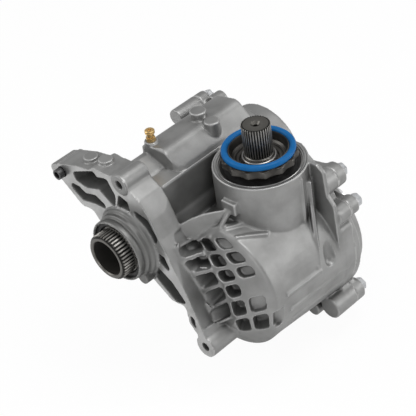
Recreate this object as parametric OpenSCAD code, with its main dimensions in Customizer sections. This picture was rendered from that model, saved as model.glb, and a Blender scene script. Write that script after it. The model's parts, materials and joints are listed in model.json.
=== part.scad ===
// Transfer case (power transfer unit): a hollow input shaft drives a cross shaft
// through a helical gear pair, and a spiral bevel set turns the drive upwards.
// Origin: input shaft axis at the mounting face. +X along the input axis towards
// the side cover, +Z along the output shaft, -Y towards the ribbed end wall.

/* [Gear train] */
// Transverse module of the helical pair
gear_module = 2.25; // [2:0.05:2.4]
// Teeth on the input gear
input_teeth = 44; // [42:1:46]
// Teeth on the transfer gear
transfer_teeth = 36; // [34:1:38]
// Face width of the helical pair
gear_width = 19; // [15:0.5:20]
// Helix angle of the helical pair
helix_angle = 16; // [0:1:25]
// Angle by which the cross shaft lies below the input shaft
axis_drop = 36.87; // [33:0.5:40]
// Teeth on the bevel ring gear
ring_teeth = 37; // [35:1:41]
// Teeth on the bevel pinion
bevel_teeth = 15; // [13:1:17]
// Outer cone distance of the bevel set
bevel_cone = 54.5; // [52:0.5:56]
// Face width of the bevel set
bevel_face = 16; // [13:0.5:18]
// Spiral angle of the bevel teeth
spiral_angle = 30; // [0:1:35]
// Backlash between meshing teeth
backlash = 0.3; // [0.2:0.05:0.5]

/* [Layout] */
// Mounting face to output shaft axis
apex_x = 116; // [112:0.5:120]
// Mounting face to the cover's joint face
parting_x = 161; // [158:0.5:164]
// Height of the neck's mouth above the input axis
neck_mouth_z = 56; // [54:0.5:60]

/* [Input shaft] */
// Radius of the bore that the half shaft passes through
halfshaft_bore_r = 18.5; // [16:0.5:19.5]
// Journal radius of the input shaft
input_journal_r = 25; // [24.8:0.1:26]
// Outer radius of the input splines
input_spline_r = 24.3; // [22.5:0.1:24.6]
// Number of input splines
input_splines = 42; // [36:1:46]
// Reach of the input shaft beyond the mounting face
input_reach = 32.5; // [28:0.5:38]
// Length of the input splines
input_spline_len = 16; // [12:0.5:20]

/* [Output shaft] */
// Outer radius of the output splines
output_spline_r = 14.3; // [13:0.1:15]
// Number of output splines
output_splines = 34; // [28:1:36]
// Height of the output shaft's end above the neck's mouth
output_reach = 43; // [36:0.5:50]
// Outer radius of the scalloped collar
collar_r = 38; // [36.5:0.1:39]
// Number of scallops round the collar
collar_scallops = 14; // [10:1:18]
// Radius of the blue seal ring's centre line
seal_ring_r = 33; // [31.5:0.1:34]
// Thickness of the blue seal ring
seal_ring_d = 6.6; // [5:0.1:7.5]

/* [Bearings] */
// Outer radius of the pinion head bearing
head_bearing_r = 36; // [34.5:0.25:36.5]
// Outer radius of the pinion tail bearing
tail_bearing_r = 31; // [29.5:0.25:32]
// Outer radius of the cross shaft's end wall bearing
left_bearing_r = 38; // [36:0.25:39]
// Outer radius of the cross shaft's cover bearing
right_bearing_r = 27.5; // [26.5:0.25:28.5]
// Outer radius of the input shaft's cover bearing
ball_bearing_r = 36; // [35:0.25:38]

/* [Casing] */
// Depth of the ribbed mounting flange
flange_depth = 30; // [26:0.5:31]
// Wall left behind the flange pockets
flange_floor = 6; // [4:0.5:8]
// Outer radius of the pilot spigot
pilot_r = 33; // [32:0.1:35]
// Reach of the pilot spigot beyond the mounting face
pilot_reach = 19.5; // [16:0.5:22]
// Outer radius of the drum at its rim
drum_r = 69; // [67:0.5:71]
// Mounting face to the drum's rim
drum_x = 51; // [48:0.5:53]
// Outer radius of the neck
neck_r = 47; // [46:0.25:50]
// Bore radius of the neck's mouth
neck_bore_r = 40.5; // [39.5:0.1:42]
// Outer radius of the joint rim round the cross shaft
rim_ring_r = 73; // [71:0.5:75]
// Outer radius of the joint rim round the input shaft
rim_input_r = 62; // [61:0.5:64]
// General wall of the castings
wall = 5; // [4:0.25:6]
// Depth of the pockets in the end wall
pocket_depth = 8; // [5:0.5:9]
// Width of the ribs between the pockets
pocket_rib = 4.5; // [3.5:0.25:6]
// Pitch of the pocket columns
pocket_pitch = 14.6; // [13:0.2:16]
// Outer radius of the input dome on the cover
dome_r = 47; // [44:0.5:49]
// Joint face to the end of the cover's dome
dome_depth = 37; // [34:0.5:40]
// Joint face to the cover's outer wall
cover_depth = 20; // [19:0.5:23]

/* [Mounting] */
// Radius of the mounting bolt holes
mount_hole_r = 4.5; // [4:0.1:5.5]
// Radius of the hollow locating dowel
dowel_r = 5.5; // [4.5:0.1:6.5]
// Reach of the hollow dowel beyond the mounting face
dowel_reach = 7; // [5:0.5:10]
// Radius of the bottom mounting boss
foot_r = 12; // [10.5:0.5:14]
// Length of the bottom mounting boss
foot_len = 36; // [30:1:40]

/* [Fits] */
// Clearance of seated rings and plugs
seat_fit = 0.02; // [0.01:0.01:0.05]
// Radial running clearance at the seal lips
lip_gap = 0.1; // [0.06:0.01:0.1]
// Clearance round rolling elements
roll_gap = 0.25; // [0.2:0.05:0.3]

/* [Hidden] */
$fn = 48;
eps = 0.01;
cast = [0.66, 0.66, 0.67];
steel = [0.55, 0.55, 0.57];
dark = [0.24, 0.22, 0.2];
black = [0.1, 0.1, 0.1];

// Axes
centre_distance = gear_module * (input_teeth + transfer_teeth) / 2;
ring_y = -centre_distance * cos(axis_drop);
ring_z = -centre_distance * sin(axis_drop);
mesh_dir = 180 + axis_drop;

// Bevel set
ring_cone_angle = atan(ring_teeth / bevel_teeth);
bevel_module = 2 * bevel_cone * sin(ring_cone_angle) / ring_teeth;
ring_back_x = apex_x - bevel_cone * cos(ring_cone_angle) - 15;
ring_body_r = bevel_cone * sin(ring_cone_angle) + 1.5;
ring_bore_r = 30;
ring_bolt_r = 37.5;
ring_bolt_count = 10;

// Pinion shaft stations, heights above the input axis
seal_z = neck_mouth_z - 7;
tail_z0 = seal_z - 17;
tail_z1 = seal_z;
head_z0 = tail_z0 - 29;
head_z1 = head_z0 + 18;
collar_z = neck_mouth_z + 4;
seal_ring_z = neck_mouth_z + 15;
collar_floor_z = seal_ring_z - 11;
head_journal_r = 17.5;
tail_journal_r = 15;
hub_r = 26;

// Cross shaft stations
flange_x = ring_back_x - 9;
left_x1 = flange_x - 8;
left_x0 = left_x1 - 17;
left_journal_r = 20;
cross_r = 18;
gear_x0 = parting_x - 6;
gear_x1 = gear_x0 + gear_width;
web_x1 = gear_x0 + 6.5;
right_x0 = web_x1 + 1;
right_x1 = right_x0 + 14;
right_journal_r = 15;

// Input shaft stations
needle_x0 = -8;
needle_x1 = 12;
needle_cup_r = input_journal_r + 4;
input_waist_r = input_journal_r - 1.5;
ball_x0 = gear_x0 + 20;
ball_x1 = ball_x0 + 12;
input_end_x = ball_x1 + 1;
input_seat_r = input_journal_r + 1;
tube_r = input_journal_r + 1;

// Casing
cover_x = parting_x + cover_depth;
dome_x = parting_x + dome_depth;
cone_wall_x = drum_x - 23;
cone_tip_r = 35;
drum_in_r = drum_r - 8;
gear_clear = 2;
input_tip_r = gear_module * (input_teeth / 2 + 1);
transfer_tip_r = gear_module * (transfer_teeth / 2 + 1);
input_chamber_r = input_tip_r + gear_clear;
foot_hole_depth = 26;
dowel_seat = 13;
dowel_shank_r = dowel_r - 0.3;
// The hole's mouth is wider than the dowel, so the dowel's shoulder stands over no part of the face
dowel_mouth_r = dowel_r + 0.2;
foot_y = -86;
foot_z = -91.6;
top_bolt_z = 68;
dowel_y = 88;
dowel_z = 47;
recess_y = -24;
cover_bolt_r = 4;
boss_len = 12;

// Bolt places round the joint face: [y, z, boss radius, boss length behind the joint]
cover_bolt_at = [
  [57, 49, 9, 32], [-118, 27, 12.5, 17], [-134, -3, 10, 17], [-131, -112, 12, 30], [-76, -138, 9.5, 20],
  [-14, -116, 9.5, 20], [34, -62, 9.5, 20], [70, -14, 9.5, 20]
];
cover_dowel_at = [[ring_y - 67, ring_z - 4], [53.6, -19.5]];
cover_dowel_r = 3;
fill_at = [ring_y - 30, ring_z + 34];
drain_at = [ring_y + 8, ring_z - 52];
plug_seat_x = cover_x + 3;
plug_r = 6.5;
plug_depth = 7;
deck_pads = [[57, 70], [34, 76]];
// [angle round the ring axis, start, end] of the ribs along the drum
drum_ribs = [[171, 64, 113], [187, 66, 150], [201, 72, 150]];
// The straight sides of the joint rim lie this far inside its circles
rim_ease = 0.25;
chamber_x = 55;
slab_x = parting_x - 21;
trough_at = [127, -143, -40];
trough_r = 7;
vent_at = [62, 19];
vent_z = 76;

// Helpers

function unit(v) = v / norm(v);
function arc_corner(p, a, b, r, n) =
  r <= 0 ? [p] :
  let (u = unit(a - p), v = unit(b - p), half = acos(u * v) / 2)
  let (c = p + unit(u + v) * r / sin(half), s = p + u * r / tan(half) - c, e = p + v * r / tan(half) - c)
  let (a0 = atan2(s[1], s[0]), turn = (atan2(e[1], e[0]) - a0 + 540) % 360 - 180)
  [for (i = [0:n]) c + r * [cos(a0 + turn * i / n), sin(a0 + turn * i / n)]];
// Outline with rounded corners from points [y, z, radius]
function rounded(pts, n = 4) =
  let (m = len(pts), q = [for (p = pts) [p[0], p[1]]])
  [for (i = [0:m - 1]) each arc_corner(q[i], q[(i + m - 1) % m], q[(i + 1) % m], pts[i][2], n)];
// Four tangent points of two circles
function tangent_quad(a, ra, b, rb) =
  let (th = atan2(b[1] - a[1], b[0] - a[0]), k = acos((ra - rb) / norm(b - a)))
  [for (s = [1, -1]) each
    let (w = [cos(th + s * k), sin(th + s * k)]) s > 0 ? [a + ra * w, b + rb * w] : [b + rb * w, a + ra * w]];

module bar_x(x0, x1, r, y = 0, z = 0) {
  translate([x0, y, z]) rotate([0, 90, 0]) cylinder(h = x1 - x0, r = r);
}
module cone_x(x0, x1, r0, r1, y = 0, z = 0) {
  translate([x0, y, z]) rotate([0, 90, 0]) cylinder(h = x1 - x0, r1 = r0, r2 = r1);
}
module tube_x(x0, x1, ro, ri, y = 0, z = 0) {
  difference() {
    bar_x(x0, x1, ro, y, z);
    bar_x(x0 - 1, x1 + 1, ri, y, z);
  }
}
// Outline in the Y-Z plane drawn out along X
module prism_x(x0, x1, pts) {
  translate([x0, 0, 0]) rotate([90, 0, 90]) linear_extrude(height = x1 - x0) polygon(pts);
}
// Profile of radius and station turned about a line along X
module turned_x(pts, y = 0, z = 0) {
  translate([0, y, z]) rotate([0, 90, 0]) rotate_extrude() polygon(pts);
}
module on_pinion_axis() {
  translate([apex_x, ring_y, 0]) children();
}
// Round bar between two points
module bar_between(a, b, r) {
  d = b - a;
  translate(a) rotate([0, acos(d[2] / norm(d)), atan2(d[1], d[0])]) cylinder(h = norm(d), r = r);
}

// Involute spur profile

function inv_deg(a) = tan(a) * 180 / PI - a;
function tooth_half(r, rp, teeth, thin) =
  let (rb = rp * cos(20), q = max(r, rb))
  90 / teeth + inv_deg(20) - inv_deg(acos(rb / q)) - thin / rp * 180 / PI;
function gear_points(teeth, module_mm, phase) =
  let (rp = teeth * module_mm / 2, thin = backlash / 4)
  let (radii = [rp - 1.25 * module_mm, rp, rp + module_mm])
  [for (i = [0:teeth - 1]) each concat(
    [for (r = radii) let (a = phase + 360 * i / teeth - tooth_half(r, rp, teeth, thin)) r * [cos(a), sin(a)]],
    [for (k = [2:-1:0])
      let (r = radii[k], a = phase + 360 * i / teeth + tooth_half(r, rp, teeth, thin)) r * [cos(a), sin(a)]])];
module helical_teeth(teeth, phase, hand) {
  turn = hand * gear_width * tan(helix_angle) / (teeth * gear_module / 2) * 180 / PI;
  rotate([0, 0, turn / 2])
    linear_extrude(height = gear_width, twist = turn, slices = 3)
      polygon(gear_points(teeth, gear_module, phase));
}
// Straight splines: root circle and square-shouldered teeth
function spline_points(teeth, r, depth) =
  [for (i = [0:teeth - 1]) each
    [for (c = [[r - depth, -0.30], [r, -0.20], [r, 0.20], [r - depth, 0.30]])
      let (a = 360 * (i + c[1]) / teeth) c[0] * [cos(a), sin(a)]]];

// Spiral bevel teeth: loops of tooth points, one for each cone distance

function spiral_turn(dist) =
  tan(spiral_angle) * ln(dist / (bevel_cone - bevel_face / 2)) * 180 / PI;
// [cone angle, half thickness] of the tooth's root, pitch and tip at its outer end
function bevel_form(teeth, cone, add, ded, shift) =
  let (rv = bevel_cone * tan(cone), tv = teeth / cos(cone))
  [for (h = [-ded, 0, add])
    let (r = rv + h * bevel_module, rb = rv * cos(20))
    let (half = tooth_half(r, rv, tv, backlash / 4) + shift * bevel_module * tan(20) / rv * 180 / PI)
    let (lean = cone + atan(h * bevel_module / bevel_cone))
    [lean, max(half, 0.25) * r / (bevel_cone * sin(lean))]];
function bevel_loop(teeth, cone, form, dist, hand, phase) =
  let (turn = hand * spiral_turn(dist) / sin(cone))
  [for (i = [0:teeth - 1], c = [[0, -1], [1, -1], [2, -1], [2, 1], [1, 1], [0, 1]])
    let (f = form[c[0]], a = phase + turn + 360 * i / teeth + c[1] * f[1])
    [dist * sin(f[0]) * cos(a), dist * sin(f[0]) * sin(a), dist * cos(f[0])]];
function flat_loop(teeth, form, r, z, turn, phase) =
  [for (i = [0:teeth - 1], c = [[0, -1], [1, -1], [2, -1], [2, 1], [1, 1], [0, 1]])
    let (a = phase + turn + 360 * i / teeth + c[1] * form[c[0]][1]) [r * cos(a), r * sin(a), z]];
// Skin between neighbouring loops of n points, closed round or capped at both ends
function skin(loops, n, closed) =
  [for (k = [0:loops - (closed ? 1 : 2)], i = [0:n - 1]) each
    let (a = k * n + i, b = k * n + (i + 1) % n, c = (k + 1) % loops * n + (i + 1) % n, d = (k + 1) % loops * n + i)
    [[a, c, b], [a, d, c]]];
bevel_steps = 4;
bevel_near = bevel_cone - bevel_face;
function bevel_dist(k) = bevel_near + bevel_face * k / bevel_steps;

module ring_gear_teeth() {
  form = bevel_form(ring_teeth, ring_cone_angle, 0.65, 1.45, -0.35);
  n = 6 * ring_teeth;
  back = bevel_cone * cos(ring_cone_angle) + 15;
  phase = 180 / ring_teeth;
  turn0 = spiral_turn(bevel_near) / sin(ring_cone_angle);
  turn1 = spiral_turn(bevel_cone) / sin(ring_cone_angle);
  loops = concat(
    [flat_loop(ring_teeth, form, ring_bore_r, back, turn0, phase)],
    [for (k = [0:bevel_steps]) bevel_loop(ring_teeth, ring_cone_angle, form, bevel_dist(k), 1, phase)],
    [flat_loop(ring_teeth, form, ring_body_r, back, turn1, phase)]);
  polyhedron(points = [for (l = loops) each l], faces = skin(len(loops), n, true), convexity = 8);
}
module pinion_teeth() {
  cone = 90 - ring_cone_angle;
  form = bevel_form(bevel_teeth, cone, 1.35, 0.75, 0.35);
  n = 6 * bevel_teeth;
  heel_r = 17;
  toe_z = bevel_near * cos(cone) - 0.5;
  heel_z = bevel_cone * cos(cone) + 1;
  turn0 = -spiral_turn(bevel_near) / sin(cone);
  turn1 = -spiral_turn(bevel_cone) / sin(cone);
  loops = concat(
    [flat_loop(bevel_teeth, form, 8, toe_z, turn0, 180)],
    [for (k = [0:bevel_steps]) bevel_loop(bevel_teeth, cone, form, bevel_dist(k), -1, 180)],
    [flat_loop(bevel_teeth, form, heel_r, heel_z, turn1, 180)]);
  last = (len(loops) - 1) * n;
  polyhedron(
    points = [for (l = loops) each l],
    faces = concat(skin(len(loops), n, false), [[for (i = [0:n - 1]) i]], [[for (i = [n - 1:-1:0]) last + i]]),
    convexity = 8);
}

// Bearings, drawn about +Z from station 0 to width t

// Tapered inner ring; big end of the race at the top
module taper_cone(bore, r0, r1, t) {
  rotate_extrude() polygon([
    [bore + seat_fit, 0], [r0 + 0.8, 0], [r0 + 0.8, t * 0.1], [r0, t * 0.1], [r1, t * 0.84],
    [r1 + 1.6, t * 0.84], [r1 + 1.6, t], [bore + seat_fit, t]
  ]);
}
module taper_cup(outer, r0, r1, t) {
  rotate_extrude() polygon([
    [outer - seat_fit, t * 0.02], [outer - seat_fit, t * 0.86], [r1, t * 0.86], [r0, t * 0.02]
  ]);
}
// Tapered rollers between an inner race and an outer race
module taper_rollers(i0, i1, o0, o1, t, count) {
  z0 = t * 0.14;
  z1 = t * 0.75;
  function inner(z) = i0 + (i1 - i0) * (z / t - 0.1) / 0.74;
  function outer(z) = o0 + (o1 - o0) * (z / t - 0.02) / 0.84;
  m0 = (inner(z0) + outer(z0)) / 2;
  m1 = (inner(z1) + outer(z1)) / 2;
  lean = atan((m1 - m0) / (z1 - z0));
  ra = (outer(z0) - inner(z0)) / 2 * cos(lean) - roll_gap;
  rb = (outer(z1) - inner(z1)) / 2 * cos(lean) - roll_gap;
  for (i = [0:count - 1])
    rotate([0, 0, 360 * i / count])
      translate([m0, 0, z0]) rotate([0, lean, 0]) cylinder(h = (z1 - z0) / cos(lean), r1 = ra, r2 = rb, $fn = 24);
}

// Casing pieces

flange_outline = rounded([
  [104, 50, 4], [106, 43, 5], [90, 35, 8], [66, 15, 8], [50, 16, 6], [38, 0, 3], [20, -36, 8],
  [-21, -33, 6], [-48, -52, 8], [-66, -50, 4], [-68, -70, 4], [-77, -80, 3], [-76, -96, 3],
  [-90, -84, 3], [-82, -62, 6], [-76, -44, 8], [-62, -16, 8], [-52, 5, 5], [-44, 20, 5],
  [-36, 40, 6], [-24, 58, 8], [-11, 66, 6], [-8, 76, 4], [8, 76, 4], [14, 73, 4], [27, 72, 5],
  [37, 73, 5], [45, 67, 6], [64, 64, 8], [86, 57, 8]
]);
pocket_outlines = [
  [[71, 54, 4], [38, 68, 4], [33, 63, 4], [19, 67, 4], [10, 50, 5], [14, 34, 3], [34, 48, 5], [54, 42, 5],
    [68, 45, 4]],
  [[77, 38, 3], [65, 39, 3], [56, 34, 4], [41, 38, 4], [28, 31, 3], [30, 26, 2], [46, 26, 6], [63, 22.5, 4],
    [77, 32, 3]],
  [[5, 54, 3], [-7, 50, 3], [-9, 26, 3], [14, 26, 3]],
  [[-13, 44, 3], [-32, 40, 4], [-42, 21, 4], [-34, 6, 4], [-20, 8, 4], [-14, 30, 3]],
  [[-36, 4, 2], [-47, 2, 2.5], [-55, -17, 3], [-36, -6, 2]],
  [[-26, -10, 3], [-52, -26, 4], [-69, -46, 3], [-53, -50, 4], [-26, -28, 4]],
  [[-70, -57, 2], [-76, -62, 2], [-77, -76, 1.5], [-71, -68, 2]]
];
chamber_outline = rounded([
  [-22, 58, 10], [-4, 77, 12], [26, 71, 14], [47, 46, 12], [47, 0, 6], [-22, 0, 2]
], 5);

// Wedge that leans inwards with depth, from the line through p and q on the mounting face
module side_cut(p, q, lean, length) {
  translate([0, q[0], q[1]]) rotate([-atan2(p[0] - q[0], p[1] - q[1]), 0, 0]) rotate([0, 0, lean])
    translate([-5, -60, 0]) cube([65, 60, length]);
}
module flange_plate() {
  difference() {
    union() {
      difference() {
        prism_x(0, flange_depth, flange_outline);
        // drafted outer wall beside the end wall
        side_cut([-49, 20], [-85, -72], 14, 98);
        side_cut([-31, 58], [-52, 10], 8, 60);
      }
      bar_x(0, flange_depth, 38);
      bar_x(-1.5, flange_depth, 10.5, 0, top_bolt_z);
      bar_x(0, flange_depth, 9.5, dowel_y, dowel_z);
      bar_x(0, foot_len, foot_r, foot_y, foot_z);
      for (p = deck_pads)
        translate([flange_depth / 2, p[0], p[1] - 12]) cylinder(h = 12, r = 7.5);
    }
    difference() {
      union()
        for (p = pocket_outlines)
          prism_x(-1, flange_depth - flange_floor, rounded(p));
      bar_x(-2, flange_depth, 39);
      bar_x(-2, flange_depth, 12.5, 0, top_bolt_z);
    }
    bar_x(-3, flange_depth + 1, mount_hole_r, 0, top_bolt_z);
    bar_x(-3, foot_hole_depth, mount_hole_r, foot_y, foot_z);
    bar_x(-3, dowel_seat + 1, dowel_shank_r + seat_fit, dowel_y, dowel_z);
    bar_x(-3, 1, dowel_mouth_r, dowel_y, dowel_z);
  }
}
module pilot_spigot() {
  turned_x([
    [0, -pilot_reach + 1], [pilot_r - 1, -pilot_reach], [pilot_r, -pilot_reach + 1], [pilot_r, -13],
    [pilot_r - 1.5, -12.5], [pilot_r - 1.5, -10.5], [pilot_r + 1.5, -10], [pilot_r + 1.5, -5],
    [pilot_r + 4, -4.5], [pilot_r + 5, 0], [pilot_r + 5, 4], [0, 4]
  ]);
  // drain lug at the lower front of the spigot
  bar_x(-12.6, 4, 6.5, -24, -27);
}

// Rows run across the end wall, columns run beside the mounting flange
row_dir = 159.5;
pocket_rows = [for (i = [0:5]) -46 + 11.25 * i + 1.25 * i * i];
function pocket_u(col, t) = 31 + pocket_pitch * col - 0.0095 * t * t;
function wall_point(u, t) = [
  ring_y + 8 + u * cos(row_dir) - t * sin(row_dir),
  ring_z + 4 + u * sin(row_dir) + t * cos(row_dir)
];
function pocket_shape(col, row) =
  let (t = pocket_rows[row], up = (row > 0 ? t - pocket_rows[row - 1] : 11) / 2)
  let (down = (row < 5 ? pocket_rows[row + 1] - t : 23) / 2, h = pocket_rib / 2, w = (pocket_pitch - pocket_rib) / 2)
  let (near = col == 0 ? 9 : w, t0 = t - up + h, t1 = t + down - h)
  [for (c = [[-near, t0], [w, t0], [w, t1], [-near, t1]])
    let (p = wall_point(pocket_u(col, c[1]) + c[0], c[1])) [p[0], p[1], 2.6]];

module end_wall() {
  shift = pocket_depth * 1.22;
  difference() {
    turned_x([[0, cone_wall_x], [cone_tip_r, cone_wall_x], [drum_r - 1.5, drum_x - 1], [drum_r, drum_x + 1],
      [drum_r, drum_x + 16], [0, drum_x + 16]], ring_y, ring_z);
    difference() {
      intersection() {
        union()
          for (col = [0:3], row = [0:5])
            prism_x(cone_wall_x - 5, drum_x + 14, rounded(pocket_shape(col, row), 3));
        bar_x(cone_wall_x - 6, drum_x + 15, drum_r - 4, ring_y, ring_z);
      }
      turned_x([[0, cone_wall_x + shift], [cone_tip_r, cone_wall_x + shift], [drum_r, drum_x + shift],
        [drum_r, drum_x + 20], [0, drum_x + 20]], ring_y, ring_z);
    }
  }
}
module drum() {
  cone_x(drum_x + 15, apex_x - 6, drum_r, drum_r + 2, ring_y, ring_z);
  cone_x(apex_x - 6, parting_x, drum_r + 2, rim_ring_r, ring_y, ring_z);
  // stiffening ribs along the front of the drum
  for (rib = drum_ribs)
    bar_between(
      [rib[1], ring_y + (drum_r + 0.3) * cos(rib[0]), ring_z + (drum_r + 0.3) * sin(rib[0])],
      [rib[2], ring_y + (drum_r + 2.6) * cos(rib[0]), ring_z + (drum_r + 2.6) * sin(rib[0])], 2);
}
module neck() {
  on_pinion_axis() {
    translate([0, 0, ring_z]) cylinder(h = -ring_z, r1 = neck_r + 2, r2 = neck_r);
    cylinder(h = neck_mouth_z, r = neck_r);
  }
}
// Box round the input shaft with the deep recess in front of it
module input_trunk() {
  prism_x(flange_depth - 2, parting_x - 4, rounded([
    [recess_y, neck_mouth_z, 2.5], [22, neck_mouth_z, 8], [38, 36, 10], [40, -8, 12],
    [22, -40, 12], [recess_y, -44, 4]]));
  bar_x(flange_depth - 2, parting_x - 4, tube_r + wall - 1);
  // sloped gusset behind the flange
  prism_x(flange_depth - 2, chamber_x + 4, rounded([[-3, 46, 2], [28, 46, 2], [27, 62, 3], [19, 65, 3], [-3, 57, 2]]));
}
module top_chamber() {
  difference() {
    intersection() {
      prism_x(chamber_x, parting_x, chamber_outline);
      linear_extrude(height = 120)
        polygon(rounded([[chamber_x, -22.2, 14], [parting_x, -22.2, 1], [parting_x, 60, 1], [85, 60, 10],
          [chamber_x, 26, 12]]));
    }
    // sloping top edge of the chamber's end
    translate([chamber_x, 0, 73]) rotate([0, -50, 0]) translate([-40, -40, 0]) cube([80, 100, 30]);
  }
}
module joint_rim(x0, x1) {
  bar_x(x0, x1, rim_ring_r, ring_y, ring_z);
  bar_x(x0, x1, rim_input_r);
  prism_x(x0, x1, tangent_quad([ring_y, ring_z], rim_ring_r - rim_ease, [0, 0], rim_input_r - rim_ease));
}
module housing_bosses() {
  // bolt bosses behind the joint face
  for (p = cover_bolt_at) {
    bar_x(parting_x - p[3], parting_x, p[2], p[0], p[1]);
    prism_x(parting_x - 12, parting_x, tangent_quad([p[0], p[1]], p[2] - 1, 0.6 * [p[0], p[1]], 14));
  }
  // small boss on the lower edge of the rim
  bar_x(parting_x - 33, parting_x, 8, -110, -121);
  // round and half-round bosses on top of the chamber
  translate([117, 8, 60]) cylinder(h = 24, r = 8.5);
  translate([117, -10, 56]) cylinder(h = 23, r = 8);
  // breather seat
  translate([vent_at[0], vent_at[1], 60]) cylinder(h = vent_z - 60, r = 7);
}
// Plate standing on the plan line from a to b, outline in distance and height
module upright_plate(a, b, outline, t) {
  translate([a[0], a[1], 0]) rotate([0, 0, atan2(b[1] - a[1], b[0] - a[0])])
    rotate([90, 0, 0]) translate([0, 0, -t / 2]) linear_extrude(height = t) polygon(outline);
}
// Slab beside the neck and the tall ribs in front of it
module right_slab() {
  // front lip, then the body of the slab with the bolt bosses standing out of it
  prism_x(slab_x, slab_x + 5, rounded([
    [-144, -49, 2], [-142, -20, 8], [-140, 14, 8], [-132, 24, 6], [-130, 50, 6], [-122, 56, 4],
    [-70, 56, 2], [-70, -49, 2]]));
  prism_x(slab_x + 4, parting_x, rounded([
    [-144, -49, 2], [-143, -17, 6], [-129, -9, 6], [-125, 8, 6], [-114, 31, 8], [-98, 43, 8], [-84, 54, 6],
    [-70, 54, 2], [-70, -49, 2]]));
  upright_plate([132, -119], [111, -142], [[-24, 40], [0, 40], [3, 16], [8, 8], [31, -39], [31, -51], [-24, -51]], 4);
  upright_plate([121, -119], [108, -142], [[-24, 50], [0.5, 50], [1, -28], [26, -38], [26, -52], [-24, -52]], 4);
}
module wall_fins() {
  // trunk rib and the pad on the neck's flank
  translate([apex_x - neck_r - 5, ring_y - 12, 26]) cube([8, 18, 13]);
  bar_between([apex_x - neck_r - 3, ring_y - 3, 27], [drum_x + 2, ring_y, ring_z + drum_r], 2.2);
  bar_between([drum_x + 4, ring_y - 5, ring_z + drum_r], [apex_x - 27, ring_y - 22, ring_z + drum_r - 2], 2);
  bar_between([drum_x + 2, ring_y - 20, ring_z + drum_r - 3], [apex_x - 36, ring_y - 36, ring_z + drum_r - 9], 2);
  bar_between([flange_depth - 1, -40, -10], [drum_x + 2, ring_y, ring_z + drum_r - 1], 2.2);
  bar_between([flange_depth + 8, recess_y - 2, 2], [drum_x + 30, recess_y - 6, 2], 2.2);
}
module housing_solid() {
  flange_plate();
  pilot_spigot();
  end_wall();
  drum();
  neck();
  input_trunk();
  top_chamber();
  joint_rim(gear_x0 - 3 - wall, parting_x);
  housing_bosses();
  right_slab();
  wall_fins();
}
module housing_hollow() {
  // input shaft passage, needle seat and seal seat
  bar_x(-30, parting_x, tube_r);
  bar_x(-30, needle_x1, needle_cup_r);
  bar_x(-30, needle_x0 - 1, needle_cup_r + 1.2);
  // gear chamber
  bar_x(gear_x0 - 3, parting_x + 1, input_chamber_r);
  bar_x(gear_x0 - 3, parting_x + 1, transfer_tip_r + gear_clear, ring_y, ring_z);
  // ring gear chamber
  bar_x(drum_x + 16, parting_x + 1, drum_in_r, ring_y, ring_z);
  difference() {
    cone_x(cone_wall_x + 18, drum_x + 16 + eps, cone_tip_r, drum_in_r, ring_y, ring_z);
    bar_x(cone_wall_x, left_x1 - 1, left_bearing_r + 5, ring_y, ring_z);
  }
  bar_x(left_x0 - 1, left_x1 + 6, left_bearing_r, ring_y, ring_z);
  bar_x(left_x1 - 1, drum_x + 17, left_bearing_r + 5, ring_y, ring_z);
  // pinion bores
  on_pinion_axis() {
    translate([0, 0, ring_z]) cylinder(h = head_z0 - ring_z + 3, r = head_bearing_r - 3);
    translate([0, 0, head_z0 + 2]) cylinder(h = tail_z0 - head_z0 + 0.5, r = head_bearing_r - 6);
    translate([0, 0, head_z0]) cylinder(h = head_z1 - head_z0, r = head_bearing_r);
    translate([0, 0, tail_z0]) cylinder(h = tail_z1 - tail_z0 + 1, r = tail_bearing_r);
    translate([0, 0, seal_z]) cylinder(h = 20, r = neck_bore_r);
  }
  // oil space in the top chamber
  prism_x(chamber_x + wall + 8, parting_x + 1, rounded([
    [-21 + wall, 34, 2], [-21 + wall, 60, 5], [-3, 72, 7], [24, 66, 10], [42, 45, 8], [42, 30, 4]]));
  // breather bore
  translate([vent_at[0], vent_at[1], 50]) cylinder(h = 30, r = 3.2);
  // joint face bolt holes
  for (p = cover_bolt_at)
    bar_x(parting_x - 18, parting_x + 1, cover_bolt_r + 0.05, p[0], p[1]);
  for (p = cover_dowel_at)
    bar_x(parting_x - 8, parting_x + 1, cover_dowel_r + seat_fit, p[0], p[1]);
}
module main_housing() {
  color(cast) difference() {
    housing_solid();
    housing_hollow();
    // round-bottomed trough between the tall ribs and the slab
    translate([trough_at[0], trough_at[1], trough_at[2]]) {
      cylinder(h = 100, r = trough_r);
      sphere(r = trough_r);
    }
    // machined joint face
    translate([parting_x, -200, -200]) cube([20, 400, 400]);
  }
}
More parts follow.
